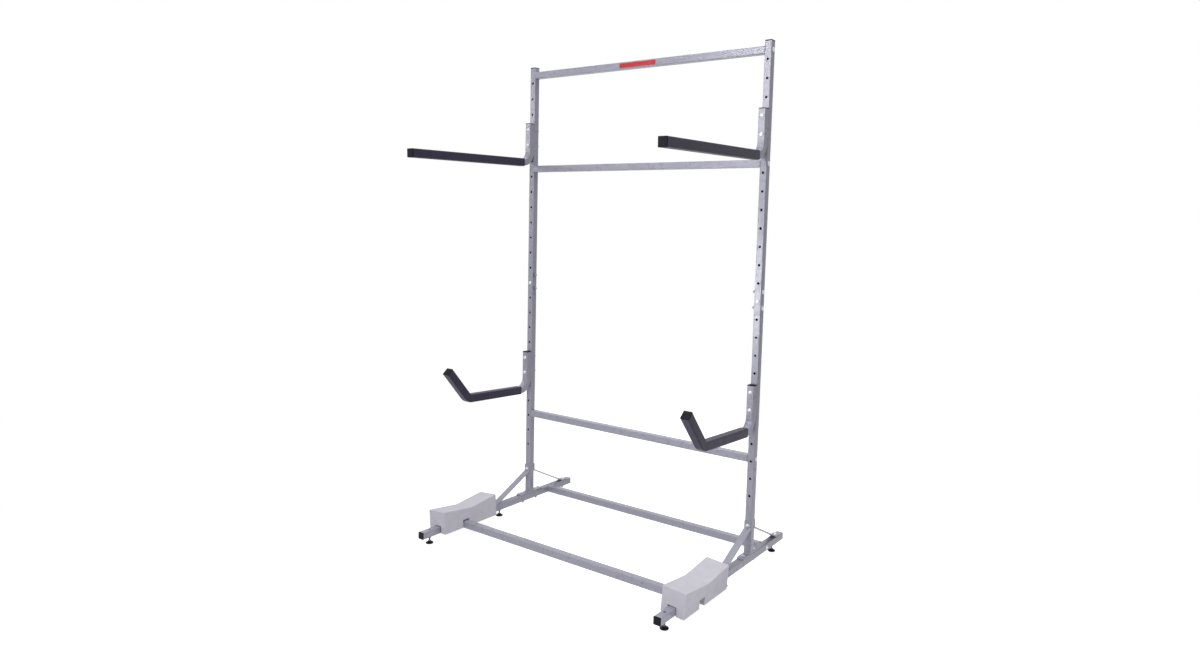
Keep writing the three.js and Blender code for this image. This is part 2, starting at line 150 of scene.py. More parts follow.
@dataclass(frozen=True)
class Finish:
    """A surface, by what the real one is and how it was made. Sizes are in millimetres."""

    name: str
    light: str  # sRGB colours that the surface drifts between
    dark: str
    drift: float  # size of that drift
    rough_low: float
    rough_high: float
    grain: float  # spacing of the fine relief
    relief: float  # height of the fine relief
    metallic: float = 0.0
    ior: float = 1.5
    coat: float = 0.0
    coat_roughness: float = 0.13
    specular: float = 0.5

    @cache
    def material(self) -> Material:
        """Builds the material once, and returns it each time."""
        material = bpy.data.materials.new(self.name)
        material.use_nodes = True
        tree = material.node_tree
        tree.nodes.clear()
        place = add_node(tree, "ShaderNodeTexCoord").outputs["Object"]
        colour, height = self.pattern(tree, place)
        depth = {"Strength": 1.0, "Distance": self.relief / 1000}
        bump = add_node(tree, "ShaderNodeBump", depth, {"Height": height})
        shine = self.spread(tree, place, self.drift / 3, self.rough_low, self.rough_high)
        shader = add_node(
            tree,
            "ShaderNodeBsdfPrincipled",
            {
                "Metallic": self.metallic,
                "IOR": self.ior,
                "Specular IOR Level": self.specular,
                "Coat Weight": self.coat,
                "Coat Roughness": self.coat_roughness,
            },
            {"Base Color": colour, "Roughness": shine, "Normal": bump.outputs["Normal"]},
        )
        add_node(tree, "ShaderNodeOutputMaterial", links={"Surface": shader.outputs["BSDF"]})
        return material

    def spread(
        self, tree: NodeTree, place: NodeSocket, size: float, low: float, high: float
    ) -> NodeSocket:
        """A value that wanders over the surface.

        Args:
            tree: The material's node tree.
            place: The coordinates that it follows.
            size: Millimetres between one high and the next.
            low: Its lowest value.
            high: Its highest value.

        Returns:
            The socket that holds it.
        """
        wander = add_node(
            tree, "ShaderNodeTexNoise", {"Scale": 1000 / size, "Detail": 3.0}, {"Vector": place}
        )
        return ranged(tree, wander.outputs["Fac"], (0.3, 0.7), (low, high))

    def mixed(
        self, tree: NodeTree, share: NodeSocket, first: object, second: object
    ) -> NodeSocket:
        """Mixes two colours.

        Args:
            tree: The material's node tree.
            share: How much of the second colour there is.
            first: A linear colour, or a socket that holds one.
            second: The same for the second colour.

        Returns:
            The socket that holds the mixed colour.
        """
        ends = {6: first, 7: second}  # the colour inputs of the Mix node
        fixed = {k: v for k, v in ends.items() if isinstance(v, tuple)}
        linked = {k: v for k, v in ends.items() if not isinstance(v, tuple)}
        node = add_node(
            tree, "ShaderNodeMix", {"data_type": "RGBA", **fixed}, {"Factor": share, **linked}
        )
        return node.outputs[2]

    def pattern(
        self, tree: NodeTree, place: NodeSocket
    ) -> tuple[NodeSocket, NodeSocket]:
        """The surface's colour and its fine relief.

        Args:
            tree: The material's node tree.
            place: The coordinates that both follow.

        Returns:
            The sockets of the colour and of the height.
        """
        share = self.spread(tree, place, self.drift, 0.0, 1.0)
        colour = self.mixed(tree, share, linear(self.dark), linear(self.light))
        grain = add_node(
            tree, "ShaderNodeTexNoise", {"Scale": 1000 / self.grain, "Detail": 2.0}, {"Vector": place}
        )
        return colour, grain.outputs["Fac"]


@dataclass(frozen=True)
class FlakedFinish(Finish):
    """A powder coat with metal flake: tiny lighter specks over a faint orange peel."""

    fleck: float = 1.1  # real flake is about 0.05 mm; it is drawn as coarse as it needs to show
    fleck_light: str = "#b7b5be"

    def pattern(
        self, tree: NodeTree, place: NodeSocket
    ) -> tuple[NodeSocket, NodeSocket]:
        """Adds the flake to the plain drift of colour. Arguments and result are the plain finish's."""
        colour, height = super().pattern(tree, place)
        cells = add_node(tree, "ShaderNodeTexVoronoi", {"Scale": 1000 / self.fleck}, {"Vector": place})
        bright = ranged(tree, cells.outputs["Color"], (0.75, 1.0), (0.0, 0.35))
        return self.mixed(tree, bright, colour, linear(self.fleck_light)), height


@dataclass(frozen=True)
class CellFinish(Finish):
    """Closed-cell foam: small cut cells, each a shallow pit with its own shade."""

    cell: float = 2.4  # real cells are under 1 mm; they are drawn coarser so that they show
    pit: str = "#c2bfca"
    pit_share: float = 0.35

    def pattern(
        self, tree: NodeTree, place: NodeSocket
    ) -> tuple[NodeSocket, NodeSocket]:
        """Adds the cells to the plain drift of colour. Arguments and result are the plain finish's."""
        colour, _ = super().pattern(tree, place)
        cells = add_node(tree, "ShaderNodeTexVoronoi", {"Scale": 1000 / self.cell}, {"Vector": place})
        height = cells.outputs["Distance"]
        depth = ranged(tree, height, (0.0, 0.6), (self.pit_share, 0.0))
        return self.mixed(tree, depth, colour, linear(self.pit)), height


# Polyester powder coat with silver flake, baked on: a soft sheen over a faint orange peel.
POWDER = FlakedFinish(
    "silver_powder_coat", "#abaab8", "#a7a6b4", 90.0, 0.26, 0.31, 2.6, 0.005,
    metallic=0.1, ior=1.35, coat=0.1,
)  # fmt: skip
# The same coat, drawn lighter on the weld beads and round the holes: a painted highlight where these catch
# the light.
POWDER_HIGHLIGHT = Finish(
    "powder_coat_edge", "#cfcdd5", "#b9b7c0", 12.0, 0.32, 0.42, 1.4, 0.03, metallic=0.15, coat=0.2
)
# The tube's inside was never coated: dark mill scale.
MILL_SCALE = Finish("mill_scale", "#151418", "#0d0c0f", 25.0, 0.6, 0.75, 1.6, 0.08, specular=0.15)
# Bright zinc plate on cold-formed bolts: nearly white, with a faint blue and yellow cast.
ZINC = Finish("bright_zinc", "#d4d5da", "#b6b7b5", 9.0, 0.24, 0.36, 0.9, 0.008, metallic=1.0)
# Darker zinc on the bolts' threads, nuts and washers, past what they hold, and on the feet's studs: painted
# shade, as under the rails these sit in shadow.
SHADED_ZINC = Finish("dull_zinc", "#9a9ba2", "#7e7f86", 7.0, 0.38, 0.5, 0.9, 0.015, metallic=0.9)
# Black zinc on the nuts of the levelling feet.
BLACK_ZINC = Finish("black_zinc", "#34333a", "#222127", 9.0, 0.3, 0.42, 0.9, 0.02, metallic=0.6)
# Moulded polyethylene caps: black, with the mould's fine spark texture.
CAP_PLASTIC = Finish(
    "moulded_polyethylene", "#181420", "#110e17", 18.0, 0.45, 0.55, 0.8, 0.012, specular=0.14
)
# Moulded nylon on the feet: blacker still.
NYLON = Finish("moulded_nylon", "#0e0d11", "#09080b", 14.0, 0.36, 0.46, 0.8, 0.012, specular=0.22)
# Extruded sponge-rubber sleeves: charcoal with a violet cast, and a closed skin with faint pores.
SLEEVE_RUBBER = CellFinish(
    "sponge_rubber", "#3a334b", "#322c41", 45.0, 0.4, 0.5, 1.6, 0.03,
    specular=0.25, cell=1.9, pit="#252030", pit_share=0.3,
)  # fmt: skip
# Cut blocks of cross-linked polyethylene foam: pale grey and dead matt, with the cut cells showing.
BLOCK_FOAM = CellFinish("cut_foam", "#e2dfe8", "#dad8e0", 35.0, 0.85, 0.95, 3.0, 0.16)
# Plain red vinyl film.
RED_FILM = Finish("red_vinyl_film", "#d9262c", "#c81f27", 40.0, 0.3, 0.38, 1.5, 0.01)


# ---- Mesh making ----
def loose(geometry: Iterable, kind: type) -> list:
    """Those of an operator's results that are of one kind."""
    return [item for item in geometry if isinstance(item, kind)]


def points(edges: Iterable[BMEdge]) -> list[BMVert]:
    """The points of some edges, each once."""
    return list({v for e in edges for v in e.verts})


def pulled(bm: BMesh, edges: list[BMEdge], way: Vector) -> tuple[list[BMEdge], list[BMVert]]:
    """Draws edges out into a wall.

    Args:
        bm: The mesh that holds them.
        edges: The edges.
        way: How far they go, and which way.

    Returns:
        The wall's far edges, and their points.
    """
    made = bmesh.ops.extrude_edge_only(bm, edges=edges)["geom"]
    verts = loose(made, BMVert)
    bmesh.ops.translate(bm, verts=verts, vec=way)
    return loose(made, BMEdge), verts


def frame_along(start: Vector, heading: Vector) -> Matrix:
    """The placing of a section drawn flat, so that it faces along a heading.

    Args:
        start: Where the section's middle goes.
        heading: The way that it faces.

    Returns:
        A matrix that takes the XY plane to the section's plane.
    """
    side = ACROSS if abs(heading.x) < 0.9 else REARWARD
    turn = Matrix((side, heading.cross(side), heading)).transposed()
    return Matrix.Translation(start) @ turn.to_4x4()


def rounded_outline(
    bm: BMesh, width: float, height: float, corner: float, segments: int, cuts: int = 0
) -> list[BMEdge]:
    """A wire rectangle with rounded corners, flat on the XY plane.

    Args:
        bm: The mesh that it is added to.
        width: Its size along X.
        height: Its size along Y.
        corner: Its corners' radius.
        segments: Edges round each corner.
        cuts: Extra points along each flat.

    Returns:
        The outline's edges.
    """
    before = set(bm.edges)
    old_faces = set(bm.faces)
    verts = bmesh.ops.create_grid(bm, x_segments=1, y_segments=1, size=0.5)["verts"]
    bmesh.ops.scale(bm, verts=verts, vec=(width, height, 1))
    soften(bm, verts, corner, segments, "VERTICES")
    bmesh.ops.delete(bm, geom=[f for f in bm.faces if f not in old_faces], context="FACES_ONLY")
    if cuts:
        flats = [e for e in bm.edges if e not in before and e.calc_length() > 2 * corner]
        bmesh.ops.subdivide_edges(bm, edges=flats, cuts=cuts)
    return [e for e in bm.edges if e not in before]


@dataclass(frozen=True)
class Run:
    """A straight length of a sweep."""

    length: float


@dataclass(frozen=True)
class Bend:
    """A curved length of a sweep: the radius of its centre line, and its turn in degrees."""

    radius: float
    turn: float
    steps: int


@dataclass
class Sweep:
    """A section carried along straight runs and bends that all turn about one axis."""

    start: Vector
    heading: Vector
    moves: Sequence[Run | Bend]
    axis: Vector = field(default_factory=lambda: ACROSS.copy())

    def carry(self, bm: BMesh, outline: list[BMEdge]) -> list[BMEdge]:
        """Draws the outline along the path.

        Args:
            bm: The mesh that holds the outline.
            outline: Edges of the section, flat on the XY plane.

        Returns:
            The outline's edges at the far end.
        """
        place = frame_along(self.start, self.heading)
        bmesh.ops.transform(bm, verts=points(outline), matrix=place)
        spot, heading, edges = self.start.copy(), self.heading.copy(), outline
        for move in self.moves:
            if isinstance(move, Run):
                edges, _ = pulled(bm, edges, heading * move.length)
                spot += heading * move.length
                continue
            centre, spot, heading = self.bent(move, spot, heading)
            made = bmesh.ops.spin(
                bm,
                geom=edges + points(edges),
                cent=centre,
                axis=self.axis,
                angle=math.radians(move.turn),
                steps=move.steps,
                use_duplicate=False,
            )["geom_last"]
            edges = loose(made, BMEdge)
        return edges

    def bent(self, bend: Bend, spot: Vector, heading: Vector) -> tuple[Vector, Vector, Vector]:
        """Follows one bend.

        Args:
            bend: The bend.
            spot: Where it starts.
            heading: The path's heading there.

        Returns:
            Its centre, and the path's place and heading after it.
        """
        angle = math.radians(bend.turn)
        quarter = Matrix.Rotation(math.copysign(math.pi / 2, angle), 3, self.axis)
        centre = spot + (quarter @ heading) * bend.radius
        turn = Matrix.Rotation(angle, 3, self.axis)
        return centre, centre + turn @ (spot - centre), turn @ heading

    def end(self) -> tuple[Vector, Vector]:
        """The path's far end, and its heading there."""
        spot, heading = self.start.copy(), self.heading.copy()
        for move in self.moves:
            if isinstance(move, Run):
                spot += heading * move.length
            else:
                _, spot, heading = self.bent(move, spot, heading)
        return spot, heading


@dataclass(frozen=True)
class SquareTube:
    """A square tube: its width, wall and outer corner, and how finely it is cut up."""

    width: float = 0.03175
    wall: float = 0.0016
    corner: float = 0.0032
    segments: int = 4
    cuts: int = 0
    end_rounding: float = 0.0

    def mesh(self, sweep: Sweep) -> BMesh:
        """Makes the tube's closed wall.

        Args:
            sweep: The path that its middle follows.

        Returns:
            A new mesh, with the inside's faces on the inside layer.
        """
        bm = bmesh.new()
        rims: list[tuple[list[BMEdge], list[BMEdge]]] = []
        for inset in (0.0, self.wall):
            size = self.width - 2 * inset
            before = set(bm.faces)
            near = rounded_outline(bm, size, size, self.corner - inset, self.segments, self.cuts)
            rims.append((near, sweep.carry(bm, near)))
        inside = [face for face in bm.faces if face not in before]
        bmesh.ops.reverse_faces(bm, faces=inside)
        for face in inside:
            face.material_index = Layer.INSIDE.value
        for end in (0, 1):
            bmesh.ops.bridge_loops(bm, edges=[*rims[0][end], *rims[1][end]])
        bmesh.ops.recalc_face_normals(bm, faces=bm.faces[:])
        if self.end_rounding:
            soften(bm, [*rims[0][0], *rims[0][1]], self.end_rounding)
        return bm


def turned(bm: BMesh, profile: Sequence[tuple[float, float]], place: Matrix, steps: int = 32) -> None:
    """Adds a shape that is turned round an axis.

    Args:
        bm: The mesh that it is added to.
        profile: Its radius and height, point by point.
        place: Where the shape goes; the axis is Z before that.
        steps: Faces round the axis.
    """
    before = set(bm.verts)
    verts = [bm.verts.new((radius, 0, height)) for radius, height in profile]
    edges = [bm.edges.new(pair) for pair in zip(verts, verts[1:])]
    bmesh.ops.spin(
        bm,
        geom=verts + edges,
        cent=(0, 0, 0),
        axis=UP,
        angle=2 * math.pi,
        steps=steps,
        use_merge=True,
        use_duplicate=False,
    )
    made = [v for v in bm.verts if v not in before]
    bmesh.ops.remove_doubles(bm, verts=made, dist=1e-6)
    made = [v for v in bm.verts if v not in before]
    faces = list({f for v in made for f in v.link_faces})
    bmesh.ops.recalc_face_normals(bm, faces=faces)
    bmesh.ops.transform(bm, verts=made, matrix=place)


def hexagon(bm: BMesh, across: float, low: float, high: float, place: Matrix, edge: float = 0.0009) -> None:
    """Adds a hexagonal nut or head with its corners broken.

    Args:
        bm: The mesh that it is added to.
        across: Its width across the flats.
        low: Height of its lower face.
        high: Height of its upper face.
        place: Where it goes; the axis is Z before that.
        edge: How much its rims are broken.
    """
    radius = across / math.sqrt(3)
    verts = bmesh.ops.create_cone(
        bm, cap_ends=True, segments=6, radius1=radius, radius2=radius, depth=high - low
    )["verts"]
    rims = {e for v in verts for e in v.link_edges if abs(e.verts[0].co.z - e.verts[1].co.z) < 1e-6}
    made = soften(bm, rims, edge, 2)
    whole = list({*made, *(v for v in verts if v.is_valid)})
    bmesh.ops.transform(bm, verts=whole, matrix=place @ Matrix.Translation((0, 0, (low + high) / 2)))


def brick(bm: BMesh, low: Vector, high: Vector) -> list[BMVert]:
    """Adds a rectangular block between two corners, and returns its points.

    Args:
        bm: The mesh that it is added to.
        low: Its lowest corner.
        high: Its highest corner.

    Returns:
        The block's eight points.
    """
    verts = bmesh.ops.create_cube(bm, size=1)["verts"]
    bmesh.ops.scale(bm, verts=verts, vec=high - low)
    bmesh.ops.translate(bm, verts=verts, vec=(low + high) / 2)
    return verts


def soften(
    bm: BMesh, geometry: Iterable, offset: float, segments: int = 3, affect: str = "EDGES"
) -> list[BMVert]:
    """Rounds edges or corners.

    Args:
        bm: The mesh that holds them.
        geometry: The edges or the points to round.
        offset: Their radius.
        segments: Faces round each of them.
        affect: EDGES or VERTICES.

    Returns:
        The points that this makes.
    """
    return bmesh.ops.bevel(
        bm,
        geom=list(geometry),
        offset=offset,
        offset_type="OFFSET",
        affect=affect,
        segments=segments,
        profile=0.5,
        material=-1,
    )["verts"]


def applied(obj: Object) -> None:
    """Gives an object the mesh that its modifiers make, and removes them."""
    graph = bpy.context.evaluated_depsgraph_get()
    graph.update()
    made = bpy.data.meshes.new_from_object(obj.evaluated_get(graph))
    obj.modifiers.clear()
    old, obj.data = obj.data, made
    made.name = obj.name
    bpy.data.meshes.remove(old)


def standing(bm: BMesh, name: str) -> Object:
    """Makes an object of a mesh, and frees the mesh.

    Args:
        bm: The mesh.
        name: The object's name.

    Returns:
        The new object, in the scene.
    """
    mesh = bpy.data.meshes.new(name)
    bm.to_mesh(mesh)
    bm.free()
    obj = bpy.data.objects.new(name, mesh)
    bpy.context.scene.collection.objects.link(obj)
    return obj


def drilled(obj: Object, cutters: BMesh) -> None:
    """Cuts holes in an object.

    Args:
        obj: The object.
        cutters: Closed shapes that are taken away, whose faces are then the holes' rims.
    """
    for face in cutters.faces:
        # The rims take a piece's second finish, which on the steel is the painted highlight.
        face.material_index = Layer.RIM.value
    tool = standing(cutters, obj.name + "_cutters")
    cut = obj.modifiers.new("holes", "BOOLEAN")
    cut.operation, cut.solver, cut.object = "DIFFERENCE", "EXACT", tool
    applied(obj)
    bpy.data.objects.remove(tool)


@dataclass
class Piece:
    """A visible piece: its name, its finishes by layer, and what it stands for in the frame."""

    name: str
    finishes: Sequence[Finish]
    slot: str
    body: str = RACK
    nodes: Sequence[str] = ()
    crease: float = 35.0  # degrees, above which an edge stays sharp

    def add(self, bm: BMesh, cutters: BMesh | None = None) -> Object:
        """Makes the piece.

        Args:
            bm: Its mesh, which is freed.
            cutters: Shapes that are cut out of it, which are freed too.

        Returns:
            The piece's object, riding on its body.
        """
        obj = standing(bm, self.name)
        for finish in self.finishes:
            obj.data.materials.append(finish.material())
        if cutters is not None:
            drilled(obj, cutters)
        obj.data.shade_smooth()
        obj.data.set_sharp_from_angle(angle=math.radians(self.crease))
        even = obj.modifiers.new("even_shading", "WEIGHTED_NORMAL")
        even.keep_sharp = True
        applied(obj)
        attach(obj, self.body)
        if self.nodes:
            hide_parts(*self.nodes)
        LOG.info("%s: %d faces", self.name, len(obj.data.polygons))
        return obj


# ---- Places that several sub-assemblies share ----
@dataclass(frozen=True)
class Plan:
    """The rack's main places, as in the part's own source."""

    post_y: float  # the plane of the posts
    gap: float = 0.0003
    tube: float = 0.03175
    post_x: float = 0.6365
    seam: float = 1.1085
    post_top: float = 2.227
    hole_lowest: float = 0.325
    hole_pitch: float = 0.0762
    hole_count: int = 25
    splice_hole: int = 13
    rail_underside: float = 0.033
    plate_thick: float = 0.006
    plate_bolt_reach: float = 0.05
    lower_rail: float = 0.488
    front_rail_y: float = -0.492
    rear_rail_y: float = 0.1475
    strut_thick: float = 0.005
    strut_foot_y: float = 0.25
    strut_tab: float = 0.034
    strut_bolt: float = 0.1955
    feet: tuple[tuple[str, float], ...] = (("front", -0.673), ("middle", -0.222), ("rear", 0.236))

    @property
    def rail_top(self) -> float:
        """Height of the base rails' upper faces."""
        return self.rail_underside + self.tube

    @property
    def rail_middle(self) -> float:
        """Height of the base rails' centre lines."""
        return self.rail_underside + self.tube / 2

    @property
    def plate_top(self) -> float:
        """Height of the foot plates' upper faces."""
        return self.rail_top + self.gap + self.plate_thick

    @property
    def arm_y(self) -> float:
        """Y of the arms' upright legs."""
        return self.post_y - self.tube - self.gap

    def hole(self, number: float) -> float:
        """Height of an adjusting hole, numbered from the top."""
        return self.hole_lowest + (self.hole_count - 1 - number) * self.hole_pitch

    @property
    def frame_rails(self) -> dict[str, float]:
        """Heights of the rails between the posts."""
        return {"lower": self.lower_rail, "middle": self.hole(5.5), "top": self.hole(-0.5)}

    @property
    def cross_rails(self) -> dict[str, float]:
        """Y of the base's cross rails, from the plane of the posts."""
        return {"front": self.front_rail_y, "rear": self.rear_rail_y}

    @property
    def splice_bolts(self) -> tuple[float, float]:
        """Heights of the two bolts that cross the splice along X."""
        return self.hole(self.splice_hole) + 0.04, self.hole(self.splice_hole) - 0.0275


# The steel's finishes by layer: the coat, the painted highlight on the hole rims, and the uncoated inside.
STEEL = (POWDER, POWDER_HIGHLIGHT, MILL_SCALE)


@dataclass(frozen=True)
class Drill:
    """Drills for the holes in a tube, with the rims of both walls broken."""

    diameter: float = 0.011
    rim: float = 0.0006
    reach: float = 0.03175 / 2
    clearance: float = 0.002

    def add(self, bm: BMesh, middle: Vector, axis: Vector) -> None:
        """Adds the drill for one hole.

        Args:
            bm: The mesh that gathers the drills.
            middle: The hole's middle, inside the tube.
            axis: The hole's direction.
        """
        radius = self.diameter / 2
        wide, face, clear = radius + self.rim, self.reach, self.reach + self.clearance
        profile = [
            (0, -clear),
            (wide, -clear),
            (wide, -face),
            (radius, -face + self.rim),
            (radius, face - self.rim),
            (wide, face),
            (wide, clear),
            (0, clear),
        ]
        turned(bm, profile, frame_along(middle, axis), 28)


# ---- Fasteners ----
class Tail(Enum):
    """What a bolt ends in."""

    NUT = "a washer, a locking nut and a stretch of thread"
    HIDDEN = "nothing that shows"


@dataclass(frozen=True)
class RoundBolt:
    """A round-headed bolt. Before it is placed, its head stands on the XY plane and points up Z."""

    head_radius: float = 0.0095
    head_height: float = 0.0052
    shank: float = 0.00475
    washer_radius: float = 0.0098
    washer_thick: float = 0.0016
    nut_across: float = 0.0143
    nut_height: float = 0.0066
    collar: float = 0.0024
    pitch: float = 0.00155
    thread_depth: float = 0.0006

    def thread(self, start: float, end: float) -> list[tuple[float, float]]:
        """The outline of a thread, going down.

        Args:
            start: The height that it starts from.
            end: The height that it ends at.

        Returns:
            The radius and height of each of its points.
        """
        turns = max(1, round((start - end) / self.pitch))
        step = (start - end) / turns
        outline = []
        for turn in range(turns):
            high = start - turn * step
            outline += [(self.shank - self.thread_depth, high), (self.shank, high - step / 2)]
        return outline

    def mesh(self, grip: float, tail: Tail, stub: float, place: Matrix) -> BMesh:
        """Makes the bolt and what it ends in.

        Args:
            grip: Thickness of what it holds.
            tail: What it ends in.
            stub: How far its end stands out past the grip.
            place: Where its head's seat goes.

        Returns:
            A new mesh.
        """
        bm = bmesh.new()
        dome = [
            (self.head_radius * math.sin(a), self.head_height * (0.18 + 0.82 * math.cos(a)))
            for a in (math.radians(9 * i) for i in range(11))
        ]
        end = -grip - stub
        outline = [*dome, (self.head_radius, 0.0), (self.shank, 0.0)]
        if tail is Tail.NUT:
            outline += [(self.shank, -grip), *self.thread(-grip, end)]
        outline += [(self.shank - 0.0007, end), (0.0, end)]
        drawn = Matrix()  # where it is drawn, before it is placed
        turned(bm, outline, drawn)
        if tail is Tail.NUT:
            inner, thick = self.shank + 0.0002, self.washer_thick
            ring = [
                (inner, -grip),
                (self.washer_radius, -grip),
                (self.washer_radius, -grip - thick),
                (inner, -grip - thick),
                (inner, -grip),
            ]
            turned(bm, ring, drawn)
            low = -grip - thick - self.nut_height
            hexagon(bm, self.nut_across, low, -grip - thick, drawn)
            rim = self.nut_across * 0.44
            collar = [(inner, low), (rim, low), (rim, low - self.collar * 0.6)]
            collar += [(rim * 0.86, low - self.collar), (inner, low - self.collar)]
            turned(bm, collar, drawn)
        # Faces past the grip take the second finish, the zinc darkened as painted shade.
        for face in bm.faces:
            face.material_index = int(face.calc_center_median().z < -grip)
        bmesh.ops.transform(bm, verts=bm.verts[:], matrix=place)
        return bm


@dataclass
class Fasteners:
    """The rack's bolts: what each goes through, and from which side."""

    plan: Plan
    bolt: RoundBolt = RoundBolt()
    strut_bolt: RoundBolt = RoundBolt(0.0085, 0.0048, 0.0039, 0.0086, 0.0015, 0.0125, 0.0058)

    def put(
        self,
        name: str,
        seat: Vector,
        out: Vector,
        grip: float,
        tail: Tail = Tail.NUT,
        stub: float = 0.014,
        kind: RoundBolt | None = None,
        nodes: Sequence[str] = (),
    ) -> None:
        """Adds one bolt.

        Args:
            name: The piece's name.
            seat: The middle of the face that its head sits on.
            out: The way that its head points.
            grip: Thickness of what it holds.
            tail: What it ends in.
            stub: How far its end stands out past the grip.
            kind: The bolt's sizes, where they aren't the usual ones.
            nodes: The frame's nodes that it stands for.
        """
        made = (kind or self.bolt).mesh(grip, tail, stub, frame_along(seat, out))
        Piece(name, (ZINC, SHADED_ZINC), "zinc", nodes=nodes, crease=40.0).add(made)

    def build(self) -> None:
        """Adds every bolt of both sides."""
        plan = self.plan
        half = plan.tube / 2
        for side in Side:
            x, sign = side.value * plan.post_x, side.value
            outside = ACROSS * sign
            spots = {f"frame_rail_bolt_{place}": (0.0, z) for place, z in plan.frame_rails.items()}
            spots |= {f"cross_rail_bolt_{n}": (y, plan.rail_middle) for n, y in plan.cross_rails.items()}
            for name, (y, z) in spots.items():
                seat = Vector((x + sign * half, plan.post_y + y, z))
                self.put(f"{name}_{side.label}", seat, outside, plan.tube, Tail.HIDDEN, 0.02)
            for place, z in zip(("upper", "lower"), plan.splice_bolts):
                seat = Vector((x + sign * half, plan.post_y, z))
                self.put(f"splice_bolt_{place}_{side.label}", seat, outside, plan.tube, stub=0.013)
            front = Vector((x, plan.post_y - half, plan.hole(plan.splice_hole)))
            self.put(f"splice_bolt_middle_{side.label}", front, -REARWARD, plan.tube, stub=0.013)
            reach = half + plan.gap + plan.strut_thick
            tab = Vector((x, plan.post_y - reach, plan.strut_bolt))
            self.put(f"strut_top_bolt_{side.label}", tab, -REARWARD, 2 * reach, kind=self.strut_bolt)
            self.downward(side)

    def downward(self, side: Side) -> None:
        """Adds one side's bolts that go down through its base rail.

        Args:
            side: The side.
        """
        plan = self.plan
        x = side.value * plan.post_x
        foot = plan.strut_foot_y + plan.strut_tab / 2
        strut_top = plan.rail_top + plan.gap + plan.strut_thick
        for place, y, z in (
            ("plate_bolt_front", -plan.plate_bolt_reach, plan.plate_top),
            ("plate_bolt_rear", plan.plate_bolt_reach, plan.plate_top),
            ("strut_foot_bolt_front", -foot, strut_top),
            ("strut_foot_bolt_rear", foot, strut_top),
        ):
            seat = Vector((x, plan.post_y + y, z))
            grip = z - plan.rail_underside
            self.put(f"{place}_{side.label}", seat, UP, grip, stub=0.0125, kind=self.strut_bolt)


# ---- Tube caps ----
@dataclass
class TubeCap:
    """A moulded cap: a slightly crowned head with rounded edges, and a plug that fills the tube."""

    width: float = 0.03175
    gap: float = 0.0003
    thick: float = 0.004
    plug_width: float = 0.0279
    plug: float = 0.012
    edge: float = 0.0014
    crown: float = 0.0004

    def mesh(self, place: Matrix) -> BMesh:
        """Makes the cap.

        Args:
            place: Takes the tube's mouth to its place, with Z pointing out of it.

        Returns:
            A new mesh.
        """
        bm = bmesh.new()
        rim = rounded_outline(bm, self.plug_width, self.plug_width, 0.0016, 4)
        bmesh.ops.translate(bm, verts=points(rim), vec=(0, 0, -self.plug))
        grow = self.width / self.plug_width
        levels = [
            (self.plug + self.gap, 1.0),
            (0.0, grow),
            (self.thick - self.gap - self.edge, 1.0),
            (self.edge * 0.62, 1 - 2 * self.edge * 0.2 / self.width),
            (self.edge * 0.3, 1 - 2 * self.edge * 0.55 / self.width),
            (self.edge * 0.08, 1 - 2 * self.edge / self.width),
            (self.crown * 0.6, 0.7),
        ]
        bmesh.ops.edgeloop_fill(bm, edges=rim)
        edges = rim
        for rise, share in levels:
            edges, verts = pulled(bm, edges, UP * rise)
            bmesh.ops.scale(bm, verts=verts, vec=(share, share, 1))
        lid = bmesh.ops.edgeloop_fill(bm, edges=edges)["faces"]
        bmesh.ops.poke(bm, faces=lid, offset=self.crown * 0.4)
        bmesh.ops.recalc_face_normals(bm, faces=bm.faces[:])
        bmesh.ops.transform(bm, verts=bm.verts[:], matrix=place)
        return bm

    def add(self, name: str, mouth: Vector, out: Vector, node: str) -> None:
        """Adds the cap to a tube.

        Args:
            name: The piece's name.
            mouth: The middle of the tube's end.
            out: The way that the tube opens.
            node: The frame's node that it stands for.
        """
        place = frame_along(mouth, out)
        Piece(name, (CAP_PLASTIC,), "black_cap", nodes=(node,), crease=50.0).add(self.mesh(place))


# ---- Posts and rails ----
@dataclass
class Welds:
    """A weld bead: a row of overlapping ripples laid into a corner."""

    radius: float = 0.0028
    ripple: float = 0.0017
    swell: float = 0.1

    def mesh(self, start: Vector, end: Vector) -> BMesh:
        """Makes a bead between two points.

        Args:
            start: Where it begins.
            end: Where it ends.

        Returns:
            A new mesh.
        """
        bm = bmesh.new()
        along = (end - start).normalized()
        steps = max(4, 4 * round((end - start).length / self.ripple))
        verts = bmesh.ops.create_circle(bm, cap_ends=False, segments=12, radius=self.radius)["verts"]
        edges = list({e for v in verts for e in v.link_edges})
        bmesh.ops.transform(bm, verts=verts, matrix=frame_along(start, along))
        bmesh.ops.edgeloop_fill(bm, edges=edges)
        size = 1.0
        for step in range(1, steps + 1):
            taper = min(1.0, 0.45 + 4 * min(step, steps - step) / steps)
            wanted = taper * (1 + self.swell * math.cos(step * math.pi / 2))
            edges, verts = pulled(bm, edges, (end - start) / steps)
            spot = start + (end - start) * (step / steps)
            share = wanted / size
            bmesh.ops.scale(bm, verts=verts, vec=(share,) * 3, space=Matrix.Translation(-spot))
            size = wanted
        bmesh.ops.edgeloop_fill(bm, edges=edges)
        bmesh.ops.recalc_face_normals(bm, faces=bm.faces[:])
        return bm


